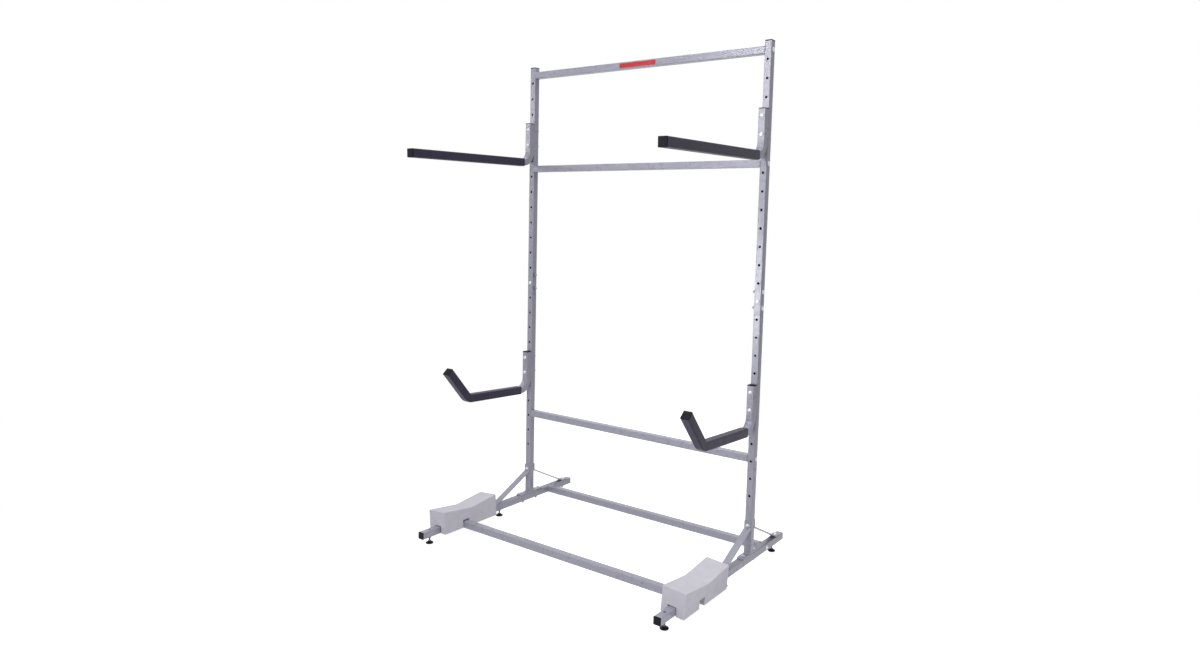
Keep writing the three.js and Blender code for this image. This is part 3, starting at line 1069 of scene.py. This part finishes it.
@dataclass
class Frame:
    """The two posts, each in two lengths with a splice sleeve, and the three rails between them."""

    plan: Plan
    tube: SquareTube = SquareTube()
    drill: Drill = Drill()
    plate_length: float = 0.165
    plate_corner: float = 0.004
    seam_rounding: float = 0.0011
    sleeve_reach: float = 0.105
    band: tuple[float, float, float, float] = (-0.107, 0.0905, 2.1812, 2.2018)

    def build(self) -> None:
        """Adds the posts, the plates at their feet, the rails and the red band."""
        for side in Side:
            self.post(side)
            self.foot_plate(side)
        plan = self.plan
        for name, z in plan.frame_rails.items():
            self.rail(f"frame_rail_{name}", plan.post_y, z)
        for name, y in plan.cross_rails.items():
            self.rail(f"base_cross_rail_{name}", plan.post_y + y, plan.rail_middle)
        self.red_band()

    def rail(self, node: str, y: float, z: float) -> None:
        """Adds a rail that runs from post to post or from side rail to side rail.

        Args:
            node: The frame's node that it stands for.
            y: Its place from front to back.
            z: Its height.
        """
        length = 2 * self.plan.post_x - self.plan.tube - 2 * self.plan.gap
        path = Sweep(Vector((-length / 2, y, z)), ACROSS, [Run(length)])
        Piece(node + "_tube", STEEL, "frame_steel", nodes=(node,)).add(self.tube.mesh(path))

    def post(self, side: Side) -> None:
        """Adds one post: its lower and upper lengths, its splice sleeve and its cap.

        Args:
            side: The side that it stands on.
        """
        plan = self.plan
        x, y = side.value * plan.post_x, plan.post_y
        lower = Sweep(
            Vector((x, y, plan.plate_top)), UP, [Run(plan.seam - plan.gap - plan.plate_top)]
        )
        upper = Sweep(Vector((x, y, plan.seam)), UP, [Run(plan.post_top - plan.seam)])
        low_holes = [plan.hole(n) for n in range(plan.splice_hole + 1, plan.hole_count)]
        high_holes = [plan.hole(n) for n in range(plan.splice_hole + 1)]
        eased = SquareTube(end_rounding=self.seam_rounding)
        for part, path, heights in (("lower", lower, low_holes), ("upper", upper, high_holes)):
            cutters = bmesh.new()
            for z in heights:
                self.drill.add(cutters, Vector((x, y, z)), REARWARD)
            Piece(
                f"{part}_post_tube_{side.label}",
                STEEL,
                "frame_steel",
                nodes=(f"{part}_post_{side.label}",),
            ).add(eased.mesh(path), cutters)
        slim = SquareTube(self.tube.width - 2 * self.tube.wall - 2 * plan.gap, 0.0016, 0.0024)
        inside = Sweep(
            Vector((x, y, plan.seam - self.sleeve_reach)), UP, [Run(2 * self.sleeve_reach)]
        )
        cutters = bmesh.new()
        for number in range(plan.splice_hole - 1, plan.splice_hole + 2):
            self.drill.add(cutters, Vector((x, y, plan.hole(number))), REARWARD)
        Piece(f"splice_sleeve_{side.label}", (MILL_SCALE,) * 3, "frame_steel").add(
            slim.mesh(inside), cutters
        )
        TubeCap().add(
            f"post_top_cap_{side.label}",
            Vector((x, y, plan.post_top)),
            UP,
            f"post_cap_{side.label}",
        )

    def foot_plate(self, side: Side) -> None:
        """Adds the plate under one post, and the weld beads that join them.

        Args:
            side: The post's side.
        """
        plan = self.plan
        x, y, half = side.value * plan.post_x, plan.post_y, plan.tube / 2
        bm = bmesh.new()
        low = Vector((x - half, y - self.plate_length / 2, plan.rail_top + plan.gap))
        brick(bm, low, Vector((x + half, y + self.plate_length / 2, plan.plate_top)))
        upright = [e for e in bm.edges if abs(e.verts[0].co.z - e.verts[1].co.z) > 1e-4]
        soften(bm, upright, self.plate_corner, 4)
        rims = [e for e in bm.edges if all(v.co.z > plan.plate_top - 1e-5 for v in e.verts)]
        soften(bm, rims, 0.0006, 2)
        Piece(f"foot_plate_{side.label}", STEEL, "frame_steel").add(bm)
        for place, way in (("front", -1), ("rear", 1)):
            start = Vector((x - half + 0.002, y + way * (half + 0.0006), plan.plate_top + 0.0008))
            end = Vector((x + half - 0.002, start.y, start.z))
            # The weld beads take the lighter coat, a painted highlight.
            Piece(
                f"foot_weld_{place}_{side.label}", (POWDER_HIGHLIGHT,), "frame_steel", crease=80.0
            ).add(Welds().mesh(start, end))

    def red_band(self) -> None:
        """Adds the plain red band on the front of the top rail."""
        west, east, low, high = self.band
        bm = bmesh.new()
        face = self.plan.post_y - self.tube.width / 2
        outline = rounded_outline(bm, east - west, high - low, 0.0012, 3)
        bmesh.ops.edgeloop_fill(bm, edges=outline)
        made = bmesh.ops.extrude_face_region(bm, geom=bm.faces[:])["geom"]
        bmesh.ops.translate(bm, verts=loose(made, BMVert), vec=(0, 0, 0.00022))
        bmesh.ops.recalc_face_normals(bm, faces=bm.faces[:])
        middle = Vector(((west + east) / 2, face - 0.0001, (low + high) / 2))
        turn = Matrix.Rotation(math.pi / 2, 4, "X")
        bmesh.ops.transform(bm, verts=bm.verts[:], matrix=Matrix.Translation(middle) @ turn)
        Piece("red_band", (RED_FILM,), "frame_steel").add(bm)


# ---- Base ----
@dataclass
class Base:
    """The two side rails with their caps, and the struts that brace the posts."""

    plan: Plan
    tube: SquareTube = SquareTube()
    drill: Drill = Drill(0.0105)
    front: float = -0.721
    rear: float = 0.317
    strut_top: float = 0.216
    strut_knee: float = 0.18
    strut_bend: float = 0.0085
    strut_corner: float = 0.0007

    def build(self) -> None:
        """Adds both sides of the base."""
        for side in Side:
            self.side_rail(side)
            for place, way in (("front", -1), ("rear", 1)):
                self.strut(side, place, way)

    def side_rail(self, side: Side) -> None:
        """Adds one side rail with its two caps.

        Args:
            side: Its side.
        """
        plan = self.plan
        x, y, z = side.value * plan.post_x, plan.post_y, plan.rail_middle
        path = Sweep(Vector((x, y + self.front, z)), REARWARD, [Run(self.rear - self.front)])
        cutters = bmesh.new()
        for _, place in plan.feet:
            self.drill.add(cutters, Vector((x, y + place, z)), UP)
        name = f"base_rail_{side.label}"
        Piece(name + "_tube", STEEL, "frame_steel", nodes=(name,)).add(self.tube.mesh(path), cutters)
        for place, end, out in (("front", self.front, -REARWARD), ("rear", self.rear, REARWARD)):
            TubeCap().add(
                f"base_end_cap_{place}_{side.label}",
                Vector((x, y + end, z)),
                out,
                f"base_cap_{place}_{side.label}",
            )

    def strut(self, side: Side, place: str, way: int) -> None:
        """Adds one strut: a flat bar bent where it leaves the post and where it meets the rail.

        Args:
            side: The end of the rack.
            place: Its name, front or rear.
            way: The sign of Y that it leans towards.
        """
        plan = self.plan
        thick, face = plan.strut_thick, plan.tube / 2 + plan.gap
        drop, run = self.strut_knee - plan.rail_top - plan.gap, plan.strut_foot_y - face
        slope = math.degrees(math.atan2(drop, run))
        outer = self.strut_bend + thick / 2
        knee_back = outer * math.tan(math.radians(90 - slope) / 2)
        foot_back = outer * math.tan(math.radians(slope) / 2)
        moves = [
            Run(self.strut_top - self.strut_knee - knee_back),
            Bend(self.strut_bend, slope - 90, 10),
            Run(math.hypot(drop, run) - knee_back - foot_back),
            Bend(self.strut_bend, -slope, 8),
            Run(plan.strut_tab - foot_back),
        ]
        x = side.value * plan.post_x
        start = Vector((x, plan.post_y + way * (face + thick / 2), self.strut_top))
        bm = bmesh.new()
        outline = rounded_outline(bm, plan.tube, thick, self.strut_corner, 2)
        path = Sweep(start, -UP, moves, ACROSS * -way)
        far = path.carry(bm, outline)
        for end in (outline, far):
            bmesh.ops.edgeloop_fill(bm, edges=end)
        bmesh.ops.recalc_face_normals(bm, faces=bm.faces[:])
        node = f"strut_{place}_{side.label}"
        Piece(node + "_bar", STEEL, "frame_steel", nodes=(node,)).add(bm)


# ---- Levelling feet ----
@dataclass
class LevellingFeet:
    """Six feet: a threaded stud in a nut under the rail, and a moulded pad that swivels on it."""

    plan: Plan
    stud_radius: float = 0.004
    stud_bottom: float = 0.004
    stud_length: float = 0.054
    pitch: float = 0.00125
    thread_depth: float = 0.00065
    nut_across: float = 0.013
    nut_height: float = 0.0065

    def build(self) -> None:
        """Adds the feet of both sides."""
        for side in Side:
            for place, y in self.plan.feet:
                spot = Vector((side.value * self.plan.post_x, self.plan.post_y + y, 0))
                self.foot(f"{place}_{side.label}", Matrix.Translation(spot))

    def foot(self, name: str, place: Matrix) -> None:
        """Adds one foot.

        Args:
            name: The foot's place and side.
            place: Takes the foot's own axis to its place.
        """
        pad = bmesh.new()
        socket = self.stud_radius + 0.0006
        profile = [(0.0, 0.0), (0.0155, 0.0), (0.0166, 0.0004), (0.0172, 0.0011), (0.0175, 0.0022)]
        profile += [(0.0174, 0.0036), (0.0168, 0.0045), (0.0152, 0.0054), (0.0126, 0.0063), (0.0104, 0.0071)]
        profile += [(0.0095, 0.0079), (0.0091, 0.0092), (0.0088, 0.0104), (0.0083, 0.011), (socket, 0.011)]
        profile += [(socket, self.stud_bottom - 0.0003), (0.0, self.stud_bottom - 0.0003)]
        turned(pad, profile, place, 40)
        Piece(
            f"foot_disc_{name}", (NYLON,), "black_foot", f"pad_{name}", (f"foot_pad_{name}",), 40.0
        ).add(pad)

        stud = bmesh.new()
        low, high = self.stud_bottom, self.stud_bottom + self.stud_length
        outline = [(0.0, low), (self.stud_radius - 0.0008, low), (self.stud_radius, low + 0.0008)]
        outline += [(self.stud_radius, 0.0145)]
        turns = round((high - 0.0145) / self.pitch)
        for turn in range(turns):
            foot = 0.0145 + turn * (high - 0.0145) / turns
            outline += [(self.stud_radius - self.thread_depth, foot + self.pitch * 0.5)]
            outline += [(self.stud_radius, foot + self.pitch * 0.95)]
        outline += [(self.stud_radius - self.thread_depth, high), (0.0, high)]
        turned(stud, outline, place, 20)
        # The stud takes the zinc darkened as painted shade under the rail.
        Piece(
            f"foot_screw_{name}", (SHADED_ZINC,), "zinc", f"stud_{name}", (f"foot_stud_{name}",), 50.0
        ).add(stud)

        nut = bmesh.new()
        under = self.plan.rail_underside
        hexagon(nut, self.nut_across, under - self.nut_height, under, place)
        Piece(f"foot_nut_{name}", (BLACK_ZINC,), "frame_steel").add(nut)


# ---- Arms ----
@dataclass
class Arm:
    """An arm's path: an upright leg on two bolts, a bend, and a sleeved length that may turn up."""

    kind: str
    holes: tuple[int, int]
    slope: float  # degrees above level
    reach: float = 0.0  # of a straight arm's tube, from the middle of the post
    elbow_y: float = 0.0  # of a J-shaped arm's elbow corner
    elbow_radius: float = 0.036
    tip_slope: float = 0.0
    tip_length: float = 0.0
    top_above_bolt: float = 0.027
    bend_radius: float = 0.055
    drop: float = 0.0865

    def leg(self, plan: Plan, x: float) -> Sweep:
        """The upright leg and the bend.

        Args:
            plan: The rack's main places.
            x: The arm's place along X.

        Returns:
            Their path.
        """
        top = plan.hole(self.holes[0]) + self.top_above_bolt
        straight = top - (plan.hole(self.holes[1]) - self.drop + self.bend_radius)
        start = Vector((x, plan.arm_y, top))
        return Sweep(start, -UP, [Run(straight), Bend(self.bend_radius, -90 - self.slope, 20)])

    def sleeved(self, plan: Plan, x: float) -> Sweep:
        """The sleeved length.

        Args:
            plan: The rack's main places.
            x: The arm's place along X.

        Returns:
            Its path.
        """
        angle = math.radians(self.slope)
        low = plan.hole(self.holes[1]) - self.drop
        ahead = self.bend_radius * (1 + math.sin(angle))
        rise = self.bend_radius * (1 - math.cos(angle))
        start = Vector((x, plan.arm_y - ahead, low + rise))
        heading = Vector((0, -math.cos(angle), math.sin(angle)))
        bend_end = start.y - plan.post_y
        if not self.tip_length:
            return Sweep(start, heading, [Run((self.reach + bend_end) / math.cos(angle))])
        turn = self.tip_slope - self.slope
        setback = self.elbow_radius * math.tan(math.radians(turn) / 2)
        run = (bend_end - self.elbow_y) / math.cos(angle) - setback
        moves = [Run(run), Bend(self.elbow_radius, -turn, 16), Run(self.tip_length - setback)]
        return Sweep(start, heading, moves)


@dataclass
class Arms:
    """Two straight arms above, two J-shaped arms below, with their sleeves, caps and bolts."""

    plan: Plan
    fasteners: Fasteners
    drill: Drill = Drill()
    kinds: tuple[Arm, ...] = (
        Arm("upper", (3, 4), -1.1, reach=0.778),
        Arm("lower", (18, 19), 2.5, elbow_y=-0.444, tip_slope=49.5, tip_length=0.186),
    )
    sleeve_wall: float = 0.003
    sleeve_corner: float = 0.0055
    sleeve_rounding: float = 0.0018
    dent: float = 0.0078  # how far the bend's inner wall is pressed in
    wrinkle: float = 0.0014
    bulge: float = 0.0009

    def build(self) -> None:
        """Adds the four arms."""
        for arm in self.kinds:
            for side in Side:
                self.tube(arm, side)
                self.sleeve(arm, side)
                self.caps(arm, side)
                self.bolts(arm, side)

    def tube(self, arm: Arm, side: Side) -> None:
        """Adds one arm's bent tube, with its inner wall pressed in at the bend."""
        plan = self.plan
        x = side.value * plan.post_x
        leg, rest = arm.leg(plan, x), arm.sleeved(plan, x)
        whole = Sweep(leg.start, leg.heading, [*leg.moves, *rest.moves])
        bm = SquareTube(cuts=6).mesh(whole)
        centre = Vector((x, plan.arm_y - arm.bend_radius, leg.start.z - leg.moves[0].length))
        self.press_in(bm, arm, centre)
        cutters = bmesh.new()
        for number in arm.holes:
            self.drill.add(cutters, Vector((x, plan.arm_y, plan.hole(number))), REARWARD)
        node = f"{arm.kind}_arm_{side.label}"
        Piece(node + "_tube", STEEL, "frame_steel", nodes=(node,)).add(bm, cutters)

    def press_in(self, bm: BMesh, arm: Arm, centre: Vector) -> None:
        """Presses the inner wall of the bend in, as a bent square tube's is.

        Args:
            bm: The arm's mesh.
            arm: Its sizes.
            centre: The middle of the bend's circle.
        """
        half = self.plan.tube / 2
        span = math.radians(90 + arm.slope)
        for vert in bm.verts:
            away = Vector((0, vert.co.y - centre.y, vert.co.z - centre.z))
            share = math.atan2(-away.z, away.y) / span
            depth = (away.length - (arm.bend_radius - half)) / self.plan.tube
            if not 0 < share < 1 or not -0.01 < depth < 0.5:
                continue
            arch = math.sin(math.pi * share) ** 1.5
            fade = max(0.0, 1 - 2.4 * depth)
            across = min(1.0, abs(vert.co.x - centre.x) / (half * 0.9))
            trough = max(0.0, 1 - across**2.5)
            push = self.dent * arch * trough + self.wrinkle * arch * math.cos(9 * math.pi * share) * trough
            vert.co += away.normalized() * push * fade
            if across > 0.95:
                vert.co.x += math.copysign(self.bulge * arch * fade, vert.co.x - centre.x)

    def sleeve(self, arm: Arm, side: Side) -> None:
        """Adds one arm's soft sleeve, with its ends rounded."""
        plan = self.plan
        x = side.value * plan.post_x
        width = plan.tube + 2 * plan.gap + 2 * self.sleeve_wall
        rounding = self.sleeve_rounding
        section = SquareTube(width, self.sleeve_wall, self.sleeve_corner, 6, end_rounding=rounding)
        bm = section.mesh(arm.sleeved(plan, x))
        node = f"{arm.kind}_arm_sleeve_{side.label}"
        rubber = (SLEEVE_RUBBER,) * len(Layer)
        Piece(node + "_skin", rubber, "arm_sleeve", nodes=(node,), crease=50.0).add(bm)

    def caps(self, arm: Arm, side: Side) -> None:
        """Adds the caps at both ends of one arm's tube."""
        x = side.value * self.plan.post_x
        name = f"{arm.kind}_arm"
        top = arm.leg(self.plan, x).start
        TubeCap().add(f"{name}_top_plug_{side.label}", top, UP, f"{name}_top_cap_{side.label}")
        spot, heading = arm.sleeved(self.plan, x).end()
        wide = TubeCap(width=self.plan.tube + 2 * self.sleeve_wall, edge=self.sleeve_rounding)
        wide.add(f"{name}_tip_plug_{side.label}", spot, heading, f"{name}_tip_cap_{side.label}")

    def bolts(self, arm: Arm, side: Side) -> None:
        """Adds the two bolts that hold one arm to its post."""
        plan = self.plan
        x, half = side.value * plan.post_x, plan.tube / 2
        grip = 2 * plan.tube + plan.gap
        for index, number in enumerate(arm.holes, 1):
            seat = Vector((x, plan.arm_y - half, plan.hole(number)))
            self.fasteners.put(
                f"{arm.kind}_arm_round_bolt_{index}_{side.label}",
                seat,
                -REARWARD,
                grip,
                nodes=(f"{arm.kind}_arm_bolt_{index}_{side.label}",),
            )


# ---- Foam blocks ----
@dataclass
class FoamBlocks:
    """A long block on each side rail, with a shallow V on top, notched over the rails below."""

    plan: Plan
    length: float = 0.33
    width: float = 0.104
    height: float = 0.103
    valley: float = 0.02
    valley_radius: float = 0.09
    middle_y: float = -0.458
    outward: float = 0.0035
    lean: float = 4.5
    notch_width: float = 0.038
    notch_depth: float = 0.0355
    notch_clearance: float = 0.01
    edge: float = 0.0016
    grid: float = 0.0095
    uneven: float = 0.00022

    def build(self) -> None:
        """Adds both blocks."""
        for side in Side:
            self.block(side)

    def outline(self) -> list[tuple[float, float]]:
        """The block's outline from the side: Y and Z of each corner, with the valley rounded."""
        half, floor = self.length / 2, self.height - self.valley
        fall = math.atan2(self.valley, half)
        reach = self.valley_radius * math.sin(fall)
        rise = reach * math.tan(fall)
        points = [(-half, 0.0), (half, 0.0), (half, self.height)]
        steps = 8
        for step in range(steps + 1):
            t = step / steps
            points.append((reach * (1 - 2 * t), floor + rise * ((1 - t) ** 2 + t**2)))
        return [*points, (-half, self.height)]

    def block(self, side: Side) -> None:
        """Adds one block.

        Args:
            side: Its side.
        """
        plan, sign = self.plan, side.value
        bm = bmesh.new()
        across = sign * self.outward - self.width / 2
        face = bm.faces.new([bm.verts.new((across, y, z)) for y, z in self.outline()])
        made = bmesh.ops.extrude_face_region(bm, geom=[face])["geom"]
        bmesh.ops.translate(bm, verts=loose(made, BMVert), vec=(self.width, 0, 0))
        bmesh.ops.recalc_face_normals(bm, faces=bm.faces[:])
        obj = standing(bm, f"foam_block_{side.label}_cut")
        half, cross = self.notch_width / 2, plan.front_rail_y - self.middle_y
        for middle, wide, long in ((0.0, half, self.length), (cross, self.width, half)):
            notch = bmesh.new()
            low = Vector((-wide, middle - long, -self.notch_clearance))
            brick(notch, low, Vector((wide, middle + long, self.notch_depth)))
            drilled(obj, notch)
        bm = bmesh.new()
        bm.from_mesh(obj.data)
        bpy.data.objects.remove(obj)
        sharp = [e for e in bm.edges if len(e.link_faces) == 2 and e.calc_face_angle() > math.radians(30)]
        soften(bm, sharp, self.edge, 3)
        self.roughen(bm, side)
        lean = Matrix.Rotation(math.radians(sign * self.lean), 4, "Y")
        seat = plan.rail_top + 2 * plan.gap + plan.tube / 2 * math.sin(math.radians(self.lean))
        place = Matrix.Translation((sign * plan.post_x, plan.post_y + self.middle_y, seat))
        drop = Matrix.Translation((0, 0, -self.notch_depth))
        bmesh.ops.transform(bm, verts=bm.verts[:], matrix=place @ lean @ drop)
        for face in bm.faces:
            face.material_index = Layer.COAT.value
        node = f"foam_block_{side.label}"
        obj = Piece(node + "_cradle", (BLOCK_FOAM,), "foam", nodes=(node,), crease=60.0).add(bm)

    def roughen(self, bm: BMesh, side: Side) -> None:
        """Cuts the block's faces up and makes them a little uneven, as cut foam is.

        Args:
            bm: The block's mesh.
            side: Its side, which sets its unevenness apart from the other block's.
        """
        for axis, low, high in (
            (ACROSS, -self.width, self.width),
            (REARWARD, -self.length / 2, self.length / 2),
            (UP, 0.0, self.height),
        ):
            count = round((high - low) / self.grid)
            for step in range(1, count):
                bmesh.ops.bisect_plane(
                    bm,
                    geom=[*bm.verts, *bm.edges, *bm.faces],
                    dist=1e-6,
                    plane_co=axis * (low + (high - low) * step / count),
                    plane_no=axis,
                )
        bm.normal_update()
        offset = Vector((3.0 * side.value, 0, 0))
        for vert in bm.verts:
            vert.co += vert.normal * self.uneven * noise.noise(vert.co * 42 + offset)


# ---- Studio ----
@dataclass(frozen=True)
class Softbox:
    """A flat lamp: where it hangs, what it faces, its width and height, and its power in watts."""

    name: str
    spot: tuple[float, float, float]
    aim: tuple[float, float, float]
    width: float
    height: float
    power: float
    spread: float = 180.0  # degrees; a grid over the lamp narrows its beam

    def hang(self) -> None:
        """Adds the lamp to the scene."""
        data = bpy.data.lights.new(self.name, "AREA")
        data.shape, data.size, data.size_y, data.energy = "RECTANGLE", self.width, self.height, self.power
        data.spread = math.radians(self.spread)
        obj = bpy.data.objects.new(self.name, data)
        bpy.context.scene.collection.objects.link(obj)
        turn = (Vector(self.aim) - Vector(self.spot)).to_track_quat("-Z", "Y")
        obj.matrix_world = Matrix.Translation(self.spot) @ turn.to_matrix().to_4x4()


@dataclass
class Studio:
    """The pale floor, the soft lights and the camera."""

    camera_spot: tuple[float, float, float] = (2.1266089, -2.8469459, 1.4714187)
    right: tuple[float, float, float] = (0.81628542, 0.57707506, 0.02573884)
    up: tuple[float, float, float] = (-0.07952182, 0.06812835, 0.99450229)
    back: tuple[float, float, float] = (0.57214893, -0.81384452, 0.10150224)
    focal_share: float = 806.9323 / 1200  # focal length over the picture's width
    middle: tuple[float, float] = (627.757, 306.615)  # where the lens looks, in the picture's pixels
    picture: tuple[float, float] = (1200.0, 670.0)
    sky_left: float = 0.56
    sky_right: float = 0.12
    floor_reach: float = 2.6
    floor_level: float = -0.0154  # just under the lowest that the levelling feet go
    softboxes: tuple[Softbox, ...] = (
        Softbox("key_light", (0.4, -3.6, 2.7), (0.0, 0.0, 1.0), 2.4, 2.0, 44.0),
        Softbox("top_light", (0.2, 0.4, 5.2), (0.0, 0.0, 0.9), 3.6, 3.6, 104.0),
        Softbox("low_side_light", (2.8, -0.6, 0.4), (0.4, -0.3, 0.1), 0.8, 0.4, 0.6, 36.0),
        # these mirror in the right post, in the top rail's right end and in the upper arms' legs
        Softbox("low_strip", (-0.85, -2.85, 0.93), (0.64, 0.21, 1.2), 0.3, 0.85, 1.25, 50.0),
        Softbox("high_strip", (-0.92, -2.85, 2.62), (0.62, 0.2, 2.0), 0.45, 0.95, 1.1, 50.0),
        Softbox("far_strip", (-3.35, -2.8, 2.38), (-0.64, 0.2, 1.9), 0.5, 0.5, 0.55, 50.0),
    )

    def build(self) -> None:
        """Adds the floor, the world, the lights and the camera."""
        self.floor()
        self.world()
        for softbox in self.softboxes:
            softbox.hang()
        self.camera()

    @staticmethod
    def looked_at(tree: NodeTree) -> NodeSocket:
        """A socket that is 1 on what the camera sees, straight, mirrored or through glass.

        Args:
            tree: The node tree that it is for.

        Returns:
            The socket.
        """
        rays, most = add_node(tree, "ShaderNodeLightPath").outputs, {"operation": "MAXIMUM"}
        seen = {0: rays["Is Camera Ray"], 1: rays["Is Glossy Ray"]}
        straight = add_node(tree, "ShaderNodeMath", most, seen)
        through = {0: straight.outputs[0], 1: rays["Is Transmission Ray"]}
        return add_node(tree, "ShaderNodeMath", most, through).outputs[0]

    def floor(self) -> None:
        """Adds the floor, which looks white to the camera and keeps the rack's shadow."""
        bm = bmesh.new()
        bmesh.ops.create_grid(bm, x_segments=8, y_segments=8, size=self.floor_reach)
        bmesh.ops.translate(bm, verts=bm.verts[:], vec=(0, 0, self.floor_level))
        obj = standing(bm, "studio_floor")
        material = bpy.data.materials.new("studio_floor")
        material.use_nodes = True
        tree = material.node_tree
        tree.nodes.clear()
        dull = add_node(tree, "ShaderNodeBsdfDiffuse", {"Color": linear("#cdcdd1")})
        glow = add_node(tree, "ShaderNodeEmission", {"Color": (1.0, 1.0, 1.0, 1.0), "Strength": 0.85})
        dark = add_node(tree, "ShaderNodeEmission", {"Strength": 0.0})
        ends = {1: dark.outputs["Emission"], 2: glow.outputs["Emission"]}
        lit = add_node(tree, "ShaderNodeMixShader", links={0: self.looked_at(tree), **ends})
        parts = {0: dull.outputs["BSDF"], 1: lit.outputs["Shader"]}
        both = add_node(tree, "ShaderNodeAddShader", links=parts)
        add_node(tree, "ShaderNodeOutputMaterial", links={"Surface": both.outputs["Shader"]})
        obj.data.materials.append(material)

    def world(self) -> None:
        """Lights the rack softly, less from the right, and looks white to the camera and in reflections."""
        world = bpy.data.worlds.new("studio")
        bpy.context.scene.world = world
        world.use_nodes = True
        tree = world.node_tree
        tree.nodes.clear()
        towards = add_node(tree, "ShaderNodeTexCoord").outputs["Generated"]
        along = add_node(tree, "ShaderNodeSeparateXYZ", links={"Vector": towards}).outputs["X"]
        falling = ranged(tree, along, (-0.6, 0.9), (self.sky_left, self.sky_right))
        cool = {"Color": (0.97, 0.97, 1.0, 1.0)}
        soft = add_node(tree, "ShaderNodeBackground", cool, {"Strength": falling})
        white = add_node(tree, "ShaderNodeBackground", {"Color": (1.0, 1.0, 1.0, 1.0), "Strength": 1.0})
        ends = {1: soft.outputs["Background"], 2: white.outputs["Background"]}
        mixed = add_node(tree, "ShaderNodeMixShader", links={0: self.looked_at(tree), **ends})
        add_node(tree, "ShaderNodeOutputWorld", links={"Surface": mixed.outputs["Shader"]})

    def camera(self) -> None:
        """Adds the camera, where the photograph was taken from."""
        data = bpy.data.cameras.new("camera")
        data.sensor_fit, data.sensor_width = "HORIZONTAL", 36.0
        data.lens = data.sensor_width * self.focal_share
        wide, tall = self.picture
        data.shift_x = (wide / 2 - self.middle[0]) / wide
        data.shift_y = (self.middle[1] - tall / 2) / wide
        data.clip_start, data.clip_end = 0.05, 100.0
        obj = bpy.data.objects.new("camera", data)
        bpy.context.scene.collection.objects.link(obj)
        turn = Matrix((self.right, self.up, self.back)).transposed().to_4x4()
        obj.matrix_world = Matrix.Translation(self.camera_spot) @ turn
        bpy.context.scene.camera = obj


def main() -> None:
    """Builds the looks round the frame, one sub-assembly after the other."""
    logging.basicConfig(level=logging.INFO, format="%(message)s")
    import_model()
    low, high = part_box("upper_post_left")
    plan = Plan(post_y=(low.y + high.y) / 2)
    fasteners = Fasteners(plan)
    builders: tuple[Callable[[], None], ...] = (
        Studio().build,
        Frame(plan).build,
        Base(plan).build,
        LevellingFeet(plan).build,
        Arms(plan, fasteners).build,
        fasteners.build,
        FoamBlocks(plan).build,
    )
    for build in builders:
        build()
    scene = bpy.context.scene
    scene.view_settings.view_transform = "Standard"


if __name__ == "__main__":
    main()
